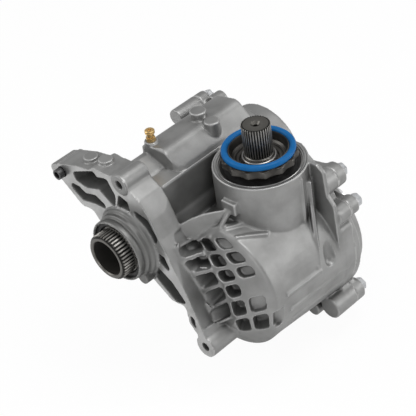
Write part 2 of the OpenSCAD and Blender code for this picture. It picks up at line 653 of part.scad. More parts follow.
module side_cover() {
  color(cast) difference() {
    union() {
      joint_rim(parting_x, parting_x + 8);
      cone_x(parting_x + 7, cover_x, rim_ring_r - 5, rim_ring_r - 8, ring_y, ring_z);
      cone_x(parting_x + 7, cover_x - 3, rim_input_r - 5, rim_input_r - 8);
      prism_x(parting_x + 7, cover_x - 3, tangent_quad([ring_y, ring_z], rim_ring_r - 12, [0, 0], rim_input_r - 9));
      bar_x(parting_x + 7, dome_x, dome_r);
      for (p = cover_bolt_at) {
        bar_x(parting_x, parting_x + boss_len, p[2], p[0], p[1]);
        prism_x(parting_x, parting_x + 8, tangent_quad([p[0], p[1]], p[2] - 1, 0.6 * [p[0], p[1]], 14));
      }
      // round boss above the input bearing
      bar_x(parting_x + 4, cover_x, 8.6, 39.2, 52.5);
      // plug bosses
      for (p = [fill_at, drain_at])
        bar_x(cover_x - 3, plug_seat_x, 12, p[0], p[1]);
    }
    for (p = [fill_at, drain_at])
      bar_x(cover_x - 9, plug_seat_x + 1, plug_r + 0.05, p[0], p[1]);
    bar_x(parting_x - 1, ball_x0, input_chamber_r);
    difference() {
      union() {
        bar_x(parting_x - 1, gear_x1 + 2, drum_in_r, ring_y, ring_z);
        prism_x(parting_x - 1, gear_x1 + 1, tangent_quad([ring_y, ring_z], 40, [0, 0], 45));
      }
      bar_x(right_x0, gear_x1 + 3, right_bearing_r + 4.5, ring_y, ring_z);
    }
    bar_x(parting_x - 2, right_x1 + 0.6, right_bearing_r, ring_y, ring_z);
    bar_x(ball_x0 - 2, ball_x1 + 0.2, ball_bearing_r);
    bar_x(ball_x0, dome_x + 1, 30);
    for (p = cover_bolt_at)
      bar_x(parting_x - 1, parting_x + boss_len + 1, cover_bolt_r + 0.5, p[0], p[1]);
    for (p = cover_dowel_at)
      bar_x(parting_x - 1, parting_x + 6.5, cover_dowel_r + seat_fit, p[0], p[1]);
  }
}
module hex_bolt_x(x, grip, y, z) {
  // flange head at x, shank of length grip towards -X
  bar_x(x - grip, x + eps, cover_bolt_r, y, z);
  bar_x(x, x + 2, 8.4, y, z);
  translate([x + 2 - eps, y, z]) rotate([0, 90, 0]) cylinder(h = 6, r = 7.2, $fn = 6);
}
module cover_bolts() {
  color(steel)
    for (p = cover_bolt_at)
      hex_bolt_x(parting_x + boss_len + 0.02, boss_len + 16, p[0], p[1]);
}
module cover_dowels() {
  color(steel)
    for (p = cover_dowel_at)
      bar_x(parting_x - 7.5, parting_x + 6, cover_dowel_r, p[0], p[1]);
}
module flange_dowel() {
  // full radius outside, thinner shank in the flange
  color(black) difference() {
    union() {
      bar_x(-dowel_reach, -1, dowel_r, dowel_y, dowel_z);
      bar_x(-2, dowel_seat, dowel_shank_r, dowel_y, dowel_z);
    }
    bar_x(-dowel_reach - 1, dowel_seat + 1, dowel_shank_r - 1.6, dowel_y, dowel_z);
  }
}
module breather_vent() {
  color("goldenrod") translate([vent_at[0], vent_at[1], vent_z]) difference() {
    union() {
      translate([0, 0, -8]) cylinder(h = 8, r = 3.2 - seat_fit);
      cylinder(h = 4, r = 5, $fn = 6);
      translate([0, 0, 3.9]) cylinder(h = 4.1, r = 4);
      translate([0, 0, 7.9]) cylinder(h = 4, r = 5);
    }
    translate([0, 0, -9]) cylinder(h = 19, r = 1.2);
  }
}

// Seals

module input_seal() {
  color(black) turned_x([
    [needle_cup_r + 1.2 - seat_fit, -16], [needle_cup_r + 1.2 - seat_fit, -9.2], [input_journal_r + lip_gap + 2, -9.2],
    [input_journal_r + lip_gap, -11], [input_journal_r + lip_gap, -12.5], [input_journal_r + 1.6, -14],
    [input_journal_r + 1.6, -16]]);
}
module halfshaft_seal() {
  color(black) turned_x([
    [30 - seat_fit, dome_x - 7], [30 - seat_fit, dome_x], [halfshaft_bore_r + 1, dome_x],
    [halfshaft_bore_r - 0.5, dome_x - 3], [halfshaft_bore_r - 0.5, dome_x - 4.5], [halfshaft_bore_r + 2, dome_x - 5],
    [halfshaft_bore_r + 2, dome_x - 7]]);
}
module pinion_seal() {
  color(black) on_pinion_axis() rotate_extrude() polygon([
    [neck_bore_r - seat_fit, seal_z], [neck_bore_r - seat_fit, seal_z + 5], [hub_r + 3, seal_z + 5],
    [hub_r + lip_gap, seal_z + 3.5], [hub_r + lip_gap, seal_z + 2], [hub_r + 3, seal_z + 1], [hub_r + 3, seal_z]]);
}

// Input shaft group

module input_shaft() {
  spline_x1 = -input_reach + input_spline_len + 2;
  color(dark) difference() {
    union() {
      cone_x(-input_reach, -input_reach + 1.2, input_spline_r - 1.4, input_spline_r - 0.2);
      bar_x(-input_reach + 1.19, -input_reach + 2.5, input_spline_r - 0.2);
      prism_x(-input_reach + 2, spline_x1, spline_points(input_splines, input_spline_r, 1.3));
      bar_x(spline_x1 - 0.5, needle_x1 + 4, input_journal_r);
      bar_x(needle_x1 + 3.9, gear_x0 - 7.9, input_waist_r);
      bar_x(gear_x0 - 8, gear_x0, input_journal_r);
      bar_x(gear_x0 - 3, gear_x0, input_seat_r + 2.5);
      bar_x(gear_x0 - 0.1, gear_x1, input_seat_r);
      bar_x(gear_x1 - 0.1, input_end_x, input_journal_r);
    }
    bar_x(-input_reach - 1, input_end_x + 1, halfshaft_bore_r);
  }
}
module input_gear() {
  color(steel) difference() {
    translate([gear_x0, 0, 0]) rotate([90, 0, 90]) helical_teeth(input_teeth, mesh_dir, 1);
    bar_x(gear_x0 - 1, gear_x1 + 1, input_seat_r + seat_fit);
    tube_x(gear_x0 + 13, gear_x1 + 1, input_tip_r - 10, input_seat_r + 6);
    tube_x(gear_x0 - 1, gear_x0 + 6, input_tip_r - 10, input_seat_r + 6);
  }
}
module needle_cup() {
  color(steel) tube_x(needle_x0, needle_x1, needle_cup_r - seat_fit, needle_cup_r - 0.8);
}
module needle_rollers() {
  needle_r = (needle_cup_r - 0.8 - input_journal_r) / 2 - roll_gap;
  mid_r = (needle_cup_r - 0.8 + input_journal_r) / 2;
  color(steel)
    for (i = [0:23])
      bar_x(needle_x0 + 1.5, needle_x1 - 1.5, needle_r, mid_r * cos(15 * i), mid_r * sin(15 * i), $fn = 16);
}
ball_mid_r = (ball_bearing_r + input_journal_r) / 2;
ball_r = (ball_bearing_r - input_journal_r) * 0.29;
module ball_outer_race() {
  color(steel) difference() {
    tube_x(ball_x0 + 0.2, ball_x1, ball_bearing_r - seat_fit, ball_mid_r + ball_r * 0.55);
    translate([(ball_x0 + ball_x1) / 2, 0, 0]) rotate([0, 90, 0]) rotate_extrude()
      translate([ball_mid_r, 0]) circle(r = ball_r + roll_gap);
  }
}
module ball_inner_race() {
  color(steel) difference() {
    tube_x(ball_x0 + 0.2, ball_x1, ball_mid_r - ball_r * 0.55, input_journal_r + seat_fit);
    translate([(ball_x0 + ball_x1) / 2, 0, 0]) rotate([0, 90, 0]) rotate_extrude()
      translate([ball_mid_r, 0]) circle(r = ball_r + roll_gap);
  }
}
module bearing_balls() {
  color(steel)
    for (i = [0:15])
      translate([(ball_x0 + ball_x1) / 2, ball_mid_r * cos(22.5 * i), ball_mid_r * sin(22.5 * i)]) sphere(r = ball_r);
}

// Cross shaft group

module cross_shaft() {
  color(steel) difference() {
    turned_x([
      [0, left_x0], [left_journal_r - 1, left_x0], [left_journal_r, left_x0 + 1], [left_journal_r, left_x1],
      [left_journal_r + 4, left_x1], [left_journal_r + 4, flange_x - 3], [left_journal_r + 7, flange_x],
      [ring_body_r - 5, flange_x], [ring_body_r - 5, ring_back_x], [ring_bore_r - seat_fit, ring_back_x],
      [ring_bore_r - seat_fit, ring_back_x + 7], [cross_r + 4, ring_back_x + 10], [cross_r, ring_back_x + 16],
      [cross_r, gear_x0 - 14], [cross_r + 5, gear_x0 - 9], [cross_r + 5, gear_x0], [cross_r, gear_x0],
      [cross_r, web_x1], [right_journal_r, web_x1 + 0.5], [right_journal_r, right_x1], [0, right_x1]
    ], ring_y, ring_z);
    for (i = [0:ring_bolt_count - 1])
      bar_x(flange_x - 1, ring_back_x + 1, 4.25,
        ring_y + ring_bolt_r * cos(36 * i), ring_z + ring_bolt_r * sin(36 * i));
  }
}
module transfer_gear() {
  color(steel) difference() {
    translate([gear_x0, ring_y, ring_z]) rotate([90, 0, 90])
      helical_teeth(transfer_teeth, mesh_dir + 180 + 180 / transfer_teeth, -1);
    bar_x(gear_x0 - 1, gear_x1 + 1, cross_r + seat_fit, ring_y, ring_z);
    bar_x(web_x1, gear_x1 + 1, transfer_tip_r - 8.5, ring_y, ring_z);
  }
}
module ring_gear() {
  color(steel) difference() {
    translate([apex_x, ring_y, ring_z]) rotate([0, -90, 0]) ring_gear_teeth();
    for (i = [0:ring_bolt_count - 1])
      bar_x(ring_back_x - 1, ring_back_x + 12, 4.05,
        ring_y + ring_bolt_r * cos(36 * i), ring_z + ring_bolt_r * sin(36 * i));
  }
}
module ring_gear_bolts() {
  color(dark)
    for (i = [0:ring_bolt_count - 1])
      translate([0, ring_y + ring_bolt_r * cos(36 * i), ring_z + ring_bolt_r * sin(36 * i)]) {
        bar_x(flange_x - 0.1, ring_back_x + 11, 4);
        translate([flange_x - 5.5, 0, 0]) rotate([0, 90, 0]) cylinder(h = 5.5, r = 6.5, $fn = 6);
      }
}
// Place a bearing along the cross shaft with its big end towards the middle or away
module left_place() {
  translate([left_x0, ring_y, ring_z]) rotate([0, 90, 0]) children();
}
module right_place() {
  translate([right_x1, ring_y, ring_z]) rotate([0, -90, 0]) children();
}
module left_cone() { color(steel) left_place() taper_cone(left_journal_r, 23.5, 27, 17); }
module left_cup() { color(steel) left_place() taper_cup(left_bearing_r, 31.5, 34.5, 17); }
module left_rollers() { color(steel) left_place() taper_rollers(23.5, 27, 31.5, 34.5, 17, 18); }
module right_cone() { color(steel) right_place() taper_cone(right_journal_r, 17, 19, 14); }
module right_cup() { color(steel) right_place() taper_cup(right_bearing_r, 22.5, 24.8, 14); }
module right_rollers() { color(steel) right_place() taper_rollers(17, 19, 22.5, 24.8, 14, 18); }
module right_shim() {
  color(steel) tube_x(right_x1 + 0.02, right_x1 + 0.55, right_bearing_r - 0.3, right_journal_r + 6, ring_y, ring_z);
}

// Pinion group

module pinion_shaft() {
  shaft_top = neck_mouth_z + output_reach;
  color(dark) on_pinion_axis() difference() {
    union() {
      translate([0, 0, ring_z]) pinion_teeth();
      rotate_extrude() polygon([
        [0, ring_z + bevel_cone * 0.8], [16, ring_z + bevel_cone * 0.8], [16, ring_z + bevel_cone * 0.9],
        [20, head_z0 - 3], [22, head_z0 - 1], [22, head_z0], [head_journal_r, head_z0], [head_journal_r, head_z1 + 1],
        [tail_journal_r, head_z1 + 3], [tail_journal_r, collar_floor_z - 1.3], [tail_journal_r - 0.6, collar_floor_z - 1.2],
        [tail_journal_r - 0.6, collar_floor_z + 6], [output_spline_r - 1.1, collar_floor_z + 7],
        [output_spline_r - 1.1, shaft_top - 1], [output_spline_r - 2.2, shaft_top], [0, shaft_top]]);
      intersection() {
        translate([0, 0, collar_floor_z + 8])
          linear_extrude(height = shaft_top - collar_floor_z - 8)
            polygon(spline_points(output_splines, output_spline_r, 1.3));
        cylinder(h = shaft_top + 0.5 - eps, r1 = shaft_top + output_spline_r - 1, r2 = output_spline_r - 1);
      }
    }
    translate([0, 0, shaft_top - 14]) cylinder(h = 15, r = 2.5);
    translate([0, 0, shaft_top - 2.5]) cylinder(h = 2.6, r1 = 2.5, r2 = 5.1);
  }
}
module head_place() {
  on_pinion_axis() translate([0, 0, head_z1]) mirror([0, 0, 1]) children();
}
module tail_place() {
  on_pinion_axis() translate([0, 0, tail_z0]) children();
}
module head_cone() { color(steel) head_place() taper_cone(head_journal_r, 21, 24, 18); }
module head_cup() { color(steel) head_place() taper_cup(head_bearing_r, 29.5, 32.5, 18); }
module head_rollers() { color(steel) head_place() taper_rollers(21, 24, 29.5, 32.5, 18, 17); }
module head_shim() {
  color(steel) on_pinion_axis() translate([0, 0, head_z1 - 0.36 + 0.02]) difference() {
    cylinder(h = 0.3, r = head_bearing_r - 0.3);
    translate([0, 0, -1]) cylinder(h = 3, r = head_bearing_r - 5);
  }
}
module tail_cone() { color(steel) tail_place() taper_cone(tail_journal_r, 18, 20.5, 17); }
module tail_cup() { color(steel) tail_place() taper_cup(tail_bearing_r, 25.5, 28, 17); }
module tail_rollers() { color(steel) tail_place() taper_rollers(18, 20.5, 25.5, 28, 17, 16); }
module crush_sleeve() {
  z0 = head_z1 + 3.2;
  z1 = tail_z0 - 0.02;
  color(steel) on_pinion_axis() rotate_extrude() polygon([
    [tail_journal_r + 0.1, z0], [tail_journal_r + 2.4, z0], [tail_journal_r + 4.2, (z0 + z1) / 2],
    [tail_journal_r + 2.4, z1], [tail_journal_r + 0.1, z1], [tail_journal_r + 1.9, (z0 + z1) / 2]]);
}
module output_collar() {
  top = seal_ring_z;
  color(dark) on_pinion_axis() difference() {
    union() {
      rotate_extrude() polygon([
        [tail_journal_r + 0.05, seal_z + 0.02], [hub_r, seal_z + 0.02], [hub_r, collar_z - 1], [collar_r - 3, collar_z],
        [collar_r - 2, collar_z + 1], [collar_r - 2, top - 4], [seal_ring_r + 2.5, top - 1.5], [seal_ring_r - 3.2, top - 1.5],
        [seal_ring_r - 3.5, top + 1], [seal_ring_r - 4.5, top + 1], [seal_ring_r - 6, collar_floor_z + 2],
        [22.5, collar_floor_z + 1], [22, collar_floor_z - 1], [tail_journal_r + 0.05, collar_floor_z - 1]]);
      for (i = [0:collar_scallops - 1])
        rotate([0, 0, 360 * i / collar_scallops])
          translate([collar_r - 5, 0, collar_z + 0.5]) cylinder(h = 7.5, r = 5);
    }
    rotate_extrude() translate([seal_ring_r, top]) circle(r = seal_ring_d / 2 + seat_fit);
    rotate([0, 0, -20]) translate([20, 0, collar_z + 4]) rotate([0, 90, 0]) cylinder(h = 30, r = 1.6);
  }
}
module blue_seal_ring() {
  color([0.08, 0.42, 0.72]) on_pinion_axis()
    rotate_extrude() translate([seal_ring_r, seal_ring_z]) circle(r = seal_ring_d / 2);
}
module pinion_nut() {
  color(steel) on_pinion_axis() rotate_extrude() polygon([
    [tail_journal_r - 0.5, collar_floor_z - 0.9], [17.6, collar_floor_z - 0.9], [17.6, collar_floor_z + 3],
    [16.4, collar_floor_z + 4.5], [tail_journal_r - 0.5, collar_floor_z + 4.5]]);
}

// Plugs

module plug_x(x, y, z) {
  bar_x(x - plug_depth, x + 1.6, plug_r, y, z);
  difference() {
    bar_x(x + 1.5, x + 6, 10, y, z);
    translate([x + 2.5, y, z]) rotate([0, 90, 0]) cylinder(h = 5, r = 4.6, $fn = 6);
  }
}
module fill_plug() { color(steel) plug_x(plug_seat_x, fill_at[0], fill_at[1]); }
module drain_plug() { color(steel) plug_x(plug_seat_x, drain_at[0], drain_at[1]); }
module plug_washers() {
  color("goldenrod")
    for (p = [fill_at, drain_at])
      tube_x(plug_seat_x + seat_fit, plug_seat_x + 1.5 - seat_fit, 9.5, plug_r + 0.1, p[0], p[1]);
}

main_housing();
side_cover();
cover_bolts();
cover_dowels();
flange_dowel();
breather_vent();
fill_plug();
drain_plug();
plug_washers();
input_seal();
halfshaft_seal();
pinion_seal();
input_shaft();
input_gear();
needle_cup();
needle_rollers();
ball_outer_race();
ball_inner_race();
bearing_balls();
cross_shaft();
transfer_gear();
ring_gear();
ring_gear_bolts();
left_cone();
left_cup();
left_rollers();
right_cone();
right_cup();
right_rollers();
right_shim();
pinion_shaft();
head_cone();
head_cup();
head_rollers();
head_shim();
tail_cone();
tail_cup();
tail_rollers();
crush_sleeve();
output_collar();
blue_seal_ring();
pinion_nut();
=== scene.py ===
"""Transfer case with an upright splined output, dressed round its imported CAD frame.

Every length is in metres, in the CAD's own frame: the origin is the input shaft's axis at
the mounting face, +X runs to the side cover and +Z along the output shaft.
"""

from __future__ import annotations

import json
import logging
import math
from dataclasses import dataclass
from enum import Enum

import bmesh
import bpy
import numpy as np
from mathutils import Matrix, Vector

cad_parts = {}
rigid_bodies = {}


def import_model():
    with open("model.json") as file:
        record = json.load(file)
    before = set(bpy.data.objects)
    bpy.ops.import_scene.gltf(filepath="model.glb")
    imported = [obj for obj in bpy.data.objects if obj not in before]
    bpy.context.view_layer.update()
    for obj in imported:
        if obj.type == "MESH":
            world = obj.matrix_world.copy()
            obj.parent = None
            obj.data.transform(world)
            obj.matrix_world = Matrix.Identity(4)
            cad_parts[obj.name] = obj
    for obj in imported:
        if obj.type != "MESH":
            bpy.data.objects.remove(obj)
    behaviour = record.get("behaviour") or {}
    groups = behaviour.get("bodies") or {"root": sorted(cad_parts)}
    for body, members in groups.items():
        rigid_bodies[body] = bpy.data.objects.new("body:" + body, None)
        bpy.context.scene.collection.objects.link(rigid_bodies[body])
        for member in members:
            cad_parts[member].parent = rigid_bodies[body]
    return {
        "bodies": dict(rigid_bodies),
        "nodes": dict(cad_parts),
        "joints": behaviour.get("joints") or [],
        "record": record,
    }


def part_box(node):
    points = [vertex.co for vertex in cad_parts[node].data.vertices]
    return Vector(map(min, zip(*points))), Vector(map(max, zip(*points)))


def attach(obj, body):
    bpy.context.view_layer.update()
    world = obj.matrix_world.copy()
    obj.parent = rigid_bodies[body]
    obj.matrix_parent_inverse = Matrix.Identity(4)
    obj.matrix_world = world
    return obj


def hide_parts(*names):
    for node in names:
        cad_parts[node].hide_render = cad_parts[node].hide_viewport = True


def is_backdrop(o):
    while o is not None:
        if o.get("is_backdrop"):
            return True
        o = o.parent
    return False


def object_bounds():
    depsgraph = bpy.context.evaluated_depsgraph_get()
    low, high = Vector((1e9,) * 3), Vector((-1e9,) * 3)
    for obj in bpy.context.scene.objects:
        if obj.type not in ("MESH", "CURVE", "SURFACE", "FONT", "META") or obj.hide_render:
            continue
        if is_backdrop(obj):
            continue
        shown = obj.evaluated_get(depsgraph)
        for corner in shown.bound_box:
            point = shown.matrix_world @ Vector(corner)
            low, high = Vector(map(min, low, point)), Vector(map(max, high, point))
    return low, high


LOG = logging.getLogger("transfer_case")
MM = 0.001
Point = tuple[float, float, float]
Colour = tuple[float, float, float]
Profile = list[tuple[float, float]]
# Both ends of a range
Span = tuple[float, float]
# Blotches a metre, and octaves of detail
Noise = tuple[float, float]
# Depth in metres, and strength
Relief = tuple[float, float]
# Steps of radius and height from a given point, in mm
Steps = tuple[tuple[float, float], ...]
WHITE: Colour = (1.0, 1.0, 1.0)
SHADE_SAMPLES = 6
# Numbers of a Mix node's share, its two colours and its result
MIX_SHARE, MIX_LOW, MIX_HIGH, MIX_RESULT = 0, 6, 7, 2
# Radius of a loop that stands for a point
POINT_RADIUS = 0.01 * MM
# Points of one solid lie closer than this
SAME_POINT = 0.001 * MM
# Steps of a rounded bar along each end's quarter circle, and points round it
BAR_STEPS, BAR_POINTS = 3, 16
# A box's corner takes less than half of a side: the side divided by this
CORNER_LIMIT = 2.1


class Axis(Enum):
    """Direction of a shaft, as the factors that leave only the distance across it."""

    X = (0.0, 1.0, 1.0)
    Z = (1.0, 1.0, 0.0)


class Value:
    """A number socket of a shader, so that shader maths reads as plain Python."""

    def __init__(self, graph: "Graph", socket: bpy.types.NodeSocket) -> None:
        """Wraps an output socket of one of the graph's nodes."""
        self.graph = graph
        self.socket = socket

    def _maths(self, operation: str, first: "Value | float", second: "Value | float") -> "Value":
        """Adds one Math node and returns its result."""
        return self.graph.value("ShaderNodeMath", {"operation": operation}, {0: first, 1: second})

    def __add__(self, other: "Value | float") -> "Value":
        """Sum."""
        return self._maths("ADD", self, other)

    def __radd__(self, other: float) -> "Value":
        """Sum, with the number first."""
        return self._maths("ADD", other, self)

    def __sub__(self, other: "Value | float") -> "Value":
        """Difference."""
        return self._maths("SUBTRACT", self, other)

    def __rsub__(self, other: float) -> "Value":
        """Difference, with the number first."""
        return self._maths("SUBTRACT", other, self)

    def __mul__(self, other: "Value | float") -> "Value":
        """Product."""
        return self._maths("MULTIPLY", self, other)

    def __rmul__(self, other: float) -> "Value":
        """Product, with the number first."""
        return self._maths("MULTIPLY", other, self)

    def between(self, low: float, high: float) -> "Value":
        """Rises from 0 at low to 1 at high and stays within them."""
        inputs = {"Value": self, "From Min": low, "From Max": high, "To Min": 0.0, "To Max": 1.0}
        return self.graph.value("ShaderNodeMapRange", {"clamp": True}, inputs)


class Graph:
    """The node tree of one finish or of the world."""

    def __init__(self, owner: bpy.types.Material | bpy.types.World) -> None:
        """Empties the owner's tree.

        Args:
            owner: the material or world that the tree belongs to.
        """
        self.owner = owner
        owner.use_nodes = True
        self.tree = owner.node_tree
        self.tree.nodes.clear()

    def node(self, kind: str, settings: dict, inputs: dict) -> bpy.types.Node:
        """Adds a node.

        Args:
            kind: the node's type.
            settings: attributes that are set before its sockets.
            inputs: socket name or number to a number, colour, Value or output socket.

        Returns:
            The new node.
        """
        made = self.tree.nodes.new(kind)
        for key, value in settings.items():
            setattr(made, key, value)
        for key, value in inputs.items():
            self._feed(made.inputs[key], value)
        return made

    def _feed(self, socket: bpy.types.NodeSocket, value: object) -> None:
        """Links or sets one input socket.

        Args:
            socket: the input socket.
            value: a number, colour, Value or output socket.
        """
        if isinstance(value, Value):
            self.tree.links.new(value.socket, socket)
        elif isinstance(value, bpy.types.NodeSocket):
            self.tree.links.new(value, socket)
        elif isinstance(value, tuple) and len(value) == 3 and len(socket.default_value) == 4:
            socket.default_value = (*value, 1.0)
        else:
            socket.default_value = value

    def value(self, kind: str, settings: dict, inputs: dict, output: int | str = 0) -> Value:
        """Adds a node and wraps one of its outputs."""
        return Value(self, self.node(kind, settings, inputs).outputs[output])

    def vector(self, operation: str, first: object, second: Point) -> bpy.types.NodeSocket:
        """Adds a Vector Math node and returns its result."""
        inputs = {0: first, 1: second}
        return self.node("ShaderNodeVectorMath", {"operation": operation}, inputs).outputs[0]

    def place(self) -> bpy.types.NodeSocket:
        """Position on the object, in metres."""
        return self.node("ShaderNodeTexCoord", {}, {}).outputs["Object"]

    def noise(
        self, per_metre: float, detail: float = 2.0, place: bpy.types.NodeSocket | None = None
    ) -> Value:
        """Cloudy values about 0.5 at so many blotches a metre."""
        inputs = {"Vector": place or self.place(), "Scale": per_metre, "Detail": detail}
        return self.value("ShaderNodeTexNoise", {}, inputs)

    def edges(self) -> Value:
        """Above 0.5 on outer edges and below it in hollows."""
        return self.value("ShaderNodeNewGeometry", {}, {}, "Pointiness")

    def shelter(self, reach: float) -> Value:
        """How much of the sky is hidden by the surfaces within reach, from 0 to 1."""
        settings = {"samples": SHADE_SAMPLES}
        return 1.0 - self.value("ShaderNodeAmbientOcclusion", settings, {"Distance": reach}, "AO")

    def mix(self, share: Value | float, low: object, high: object) -> bpy.types.NodeSocket:
        """Colour between low and high by share."""
        inputs = {MIX_SHARE: share, MIX_LOW: low, MIX_HIGH: high}
        return self.node("ShaderNodeMix", {"data_type": "RGBA"}, inputs).outputs[MIX_RESULT]

    def blend(
        self, share: Value, low: bpy.types.Node, high: bpy.types.Node
    ) -> bpy.types.NodeSocket:
        """Shader between low and high by share."""
        inputs = {0: share, 1: low.outputs[0], 2: high.outputs[0]}
        return self.node("ShaderNodeMixShader", {}, inputs).outputs[0]

    def bump(self, height: Value, depth: float, strength: float) -> bpy.types.NodeSocket:
        """Surface direction of a relief so many metres deep."""
        inputs = {"Height": height, "Distance": depth, "Strength": strength}
        return self.node("ShaderNodeBump", {}, inputs).outputs[0]

    def camera_ray(self) -> Value:
        """1 where the camera looks straight at the surface, and 0 for all other light."""
        return self.value("ShaderNodeLightPath", {}, {}, "Is Camera Ray")

    def finish(self, **sockets: object) -> bpy.types.Material:
        """Ends the tree in one surface shader.

        Args:
            **sockets: the shader's sockets by name, with _ for each blank.

        Returns:
            The finished material.
        """
        inputs = {name.replace("_", " "): value for name, value in sockets.items()}
        shader = self.node("ShaderNodeBsdfPrincipled", {}, inputs)
        self.node("ShaderNodeOutputMaterial", {}, {"Surface": shader.outputs[0]})
        return self.owner


@dataclass(frozen=True)
class CastAluminium:
    """Die cast skin: soft grain, cloudiness, pale edges of wear and painted highlight, painted
    shade in hollows, darker pilot end.
    """

    colour: Colour = (0.33, 0.33, 0.326)
    cloud: Colour = (0.235, 0.235, 0.231)
    # Pale edge colour: partly wear, partly a painted highlight on the edges
    worn: Colour = (0.62, 0.62, 0.615)
    # Painted shade: colour of the creases and of the recesses that ambient occlusion finds
    painted_shade: Colour = (0.07, 0.07, 0.068)
    pilot_dark: Colour = (0.11, 0.11, 0.105)
    clouds: Noise = (34.0, 4.0)
    cloudy: Span = (0.35, 0.7)
    # Pointiness range over which creases take the painted shade
    shaded_crease: Span = (0.49, 0.43)
    # Painted shade from ambient occlusion: its reach, its range and its share
    shade_reach: float = 14 * MM
    shade: Span = (0.3, 0.9)
    shade_share: float = 0.85
    # Pointiness range of the pale edges, which are partly wear and partly painted highlight
    worn_edge: Span = (0.515, 0.575)
    worn_patches: Span = (0.2, 0.6)
    # Darker towards the pilot's end, which lies at lower X than the flange
    pilot_dark_x: Span = (-1 * MM, -4 * MM)
    pilot_dark_share: float = 0.6
    metallic: float = 0.72
    rough: float = 0.37
    rough_grain: float = 0.14
    rough_cloud: float = 0.06
    grain: Noise = (1100.0, 3.0)
    grain_height: float = 0.6
    ripple: Noise = (260.0, 2.0)
    ripple_height: float = 0.5
    relief: Relief = (0.12 * MM, 0.8)

    def make(self) -> bpy.types.Material:
        """Builds the material.

        Returns:
            The material.
        """
        graph = Graph(bpy.data.materials.new("cast aluminium"))
        grain = graph.noise(*self.grain)
        blotch = graph.noise(*self.clouds)
        edges = graph.edges()
        base = graph.mix(blotch.between(*self.cloudy), self.colour, self.cloud)
        # Painted shade in creases, where the pointiness is low
        base = graph.mix(edges.between(*self.shaded_crease), base, self.painted_shade)
        # Painted shade in recesses, from ambient occlusion
        shade = graph.shelter(self.shade_reach).between(*self.shade)
        base = graph.mix(shade * self.shade_share, base, self.painted_shade)
        # Pale edges, partly wear and partly painted highlight
        worn = edges.between(*self.worn_edge) * blotch.between(*self.worn_patches)
        base = graph.mix(worn, base, self.worn)
        # Darker towards the pilot's end
        along = graph.value("ShaderNodeSeparateXYZ", {}, {"Vector": graph.place()}, "X")
        base = graph.mix(along.between(*self.pilot_dark_x) * self.pilot_dark_share, base, self.pilot_dark)
        rough = self.rough + self.rough_grain * grain + self.rough_cloud * blotch
        height = grain * self.grain_height + graph.noise(*self.ripple) * self.ripple_height
        normal = graph.bump(height, *self.relief)
        return graph.finish(
            Base_Color=base, Metallic=self.metallic, Roughness=rough, Normal=normal
        )


@dataclass(frozen=True)
class CutAluminium:
    """Machined faces of the castings, with fine tool marks."""

    colour: Colour = (0.50, 0.50, 0.495)
    dull: Colour = (0.36, 0.36, 0.355)
    clouds: Noise = (45.0, 3.0)
    cloudy: Span = (0.4, 0.75)
    marks_per_metre: Point = (90.0, 900.0, 1600.0)
    metallic: float = 0.9
    rough: float = 0.27
    rough_marks: float = 0.12
    relief: Relief = (0.03 * MM, 0.5)

    def make(self) -> bpy.types.Material:
        """Builds the material.

        Returns:
            The material.
        """
        graph = Graph(bpy.data.materials.new("machined aluminium"))
        stretched = graph.vector("MULTIPLY", graph.place(), self.marks_per_metre)
        marks = graph.noise(1.0, detail=1.0, place=stretched)
        blotch = graph.noise(*self.clouds)
        base = graph.mix(blotch.between(*self.cloudy), self.colour, self.dull)
        rough = self.rough + self.rough_marks * marks
        normal = graph.bump(marks, *self.relief)
        return graph.finish(
            Base_Color=base, Metallic=self.metallic, Roughness=rough, Normal=normal
        )


@dataclass(frozen=True)
class Steel:
    """Steel of one tone, with a fine grain and pale worn edges."""

    name: str
    colour: Colour
    worn: Colour
    rough: float
    metallic: float = 0.92
    grain_per_metre: float = 1500.0
    clouds: Noise = (60.0, 3.0)
    cloudy: Span = (0.45, 0.8)
    cloud_share: float = 0.5
    worn_edge: Span = (0.53, 0.62)
    rough_grain: float = 0.12
    relief: Relief = (0.03 * MM, 0.6)

    def make(self) -> bpy.types.Material:
        """Builds the material.

        Returns:
            The material.
        """
        graph = Graph(bpy.data.materials.new(self.name))
        grain = graph.noise(self.grain_per_metre)
        clouds = graph.noise(*self.clouds).between(*self.cloudy)
        base = graph.mix(clouds * self.cloud_share, self.colour, self.worn)
        base = graph.mix(graph.edges().between(*self.worn_edge), base, self.worn)
        rough = self.rough + self.rough_grain * grain
        normal = graph.bump(grain, *self.relief)
        return graph.finish(
            Base_Color=base, Metallic=self.metallic, Roughness=rough, Normal=normal
        )


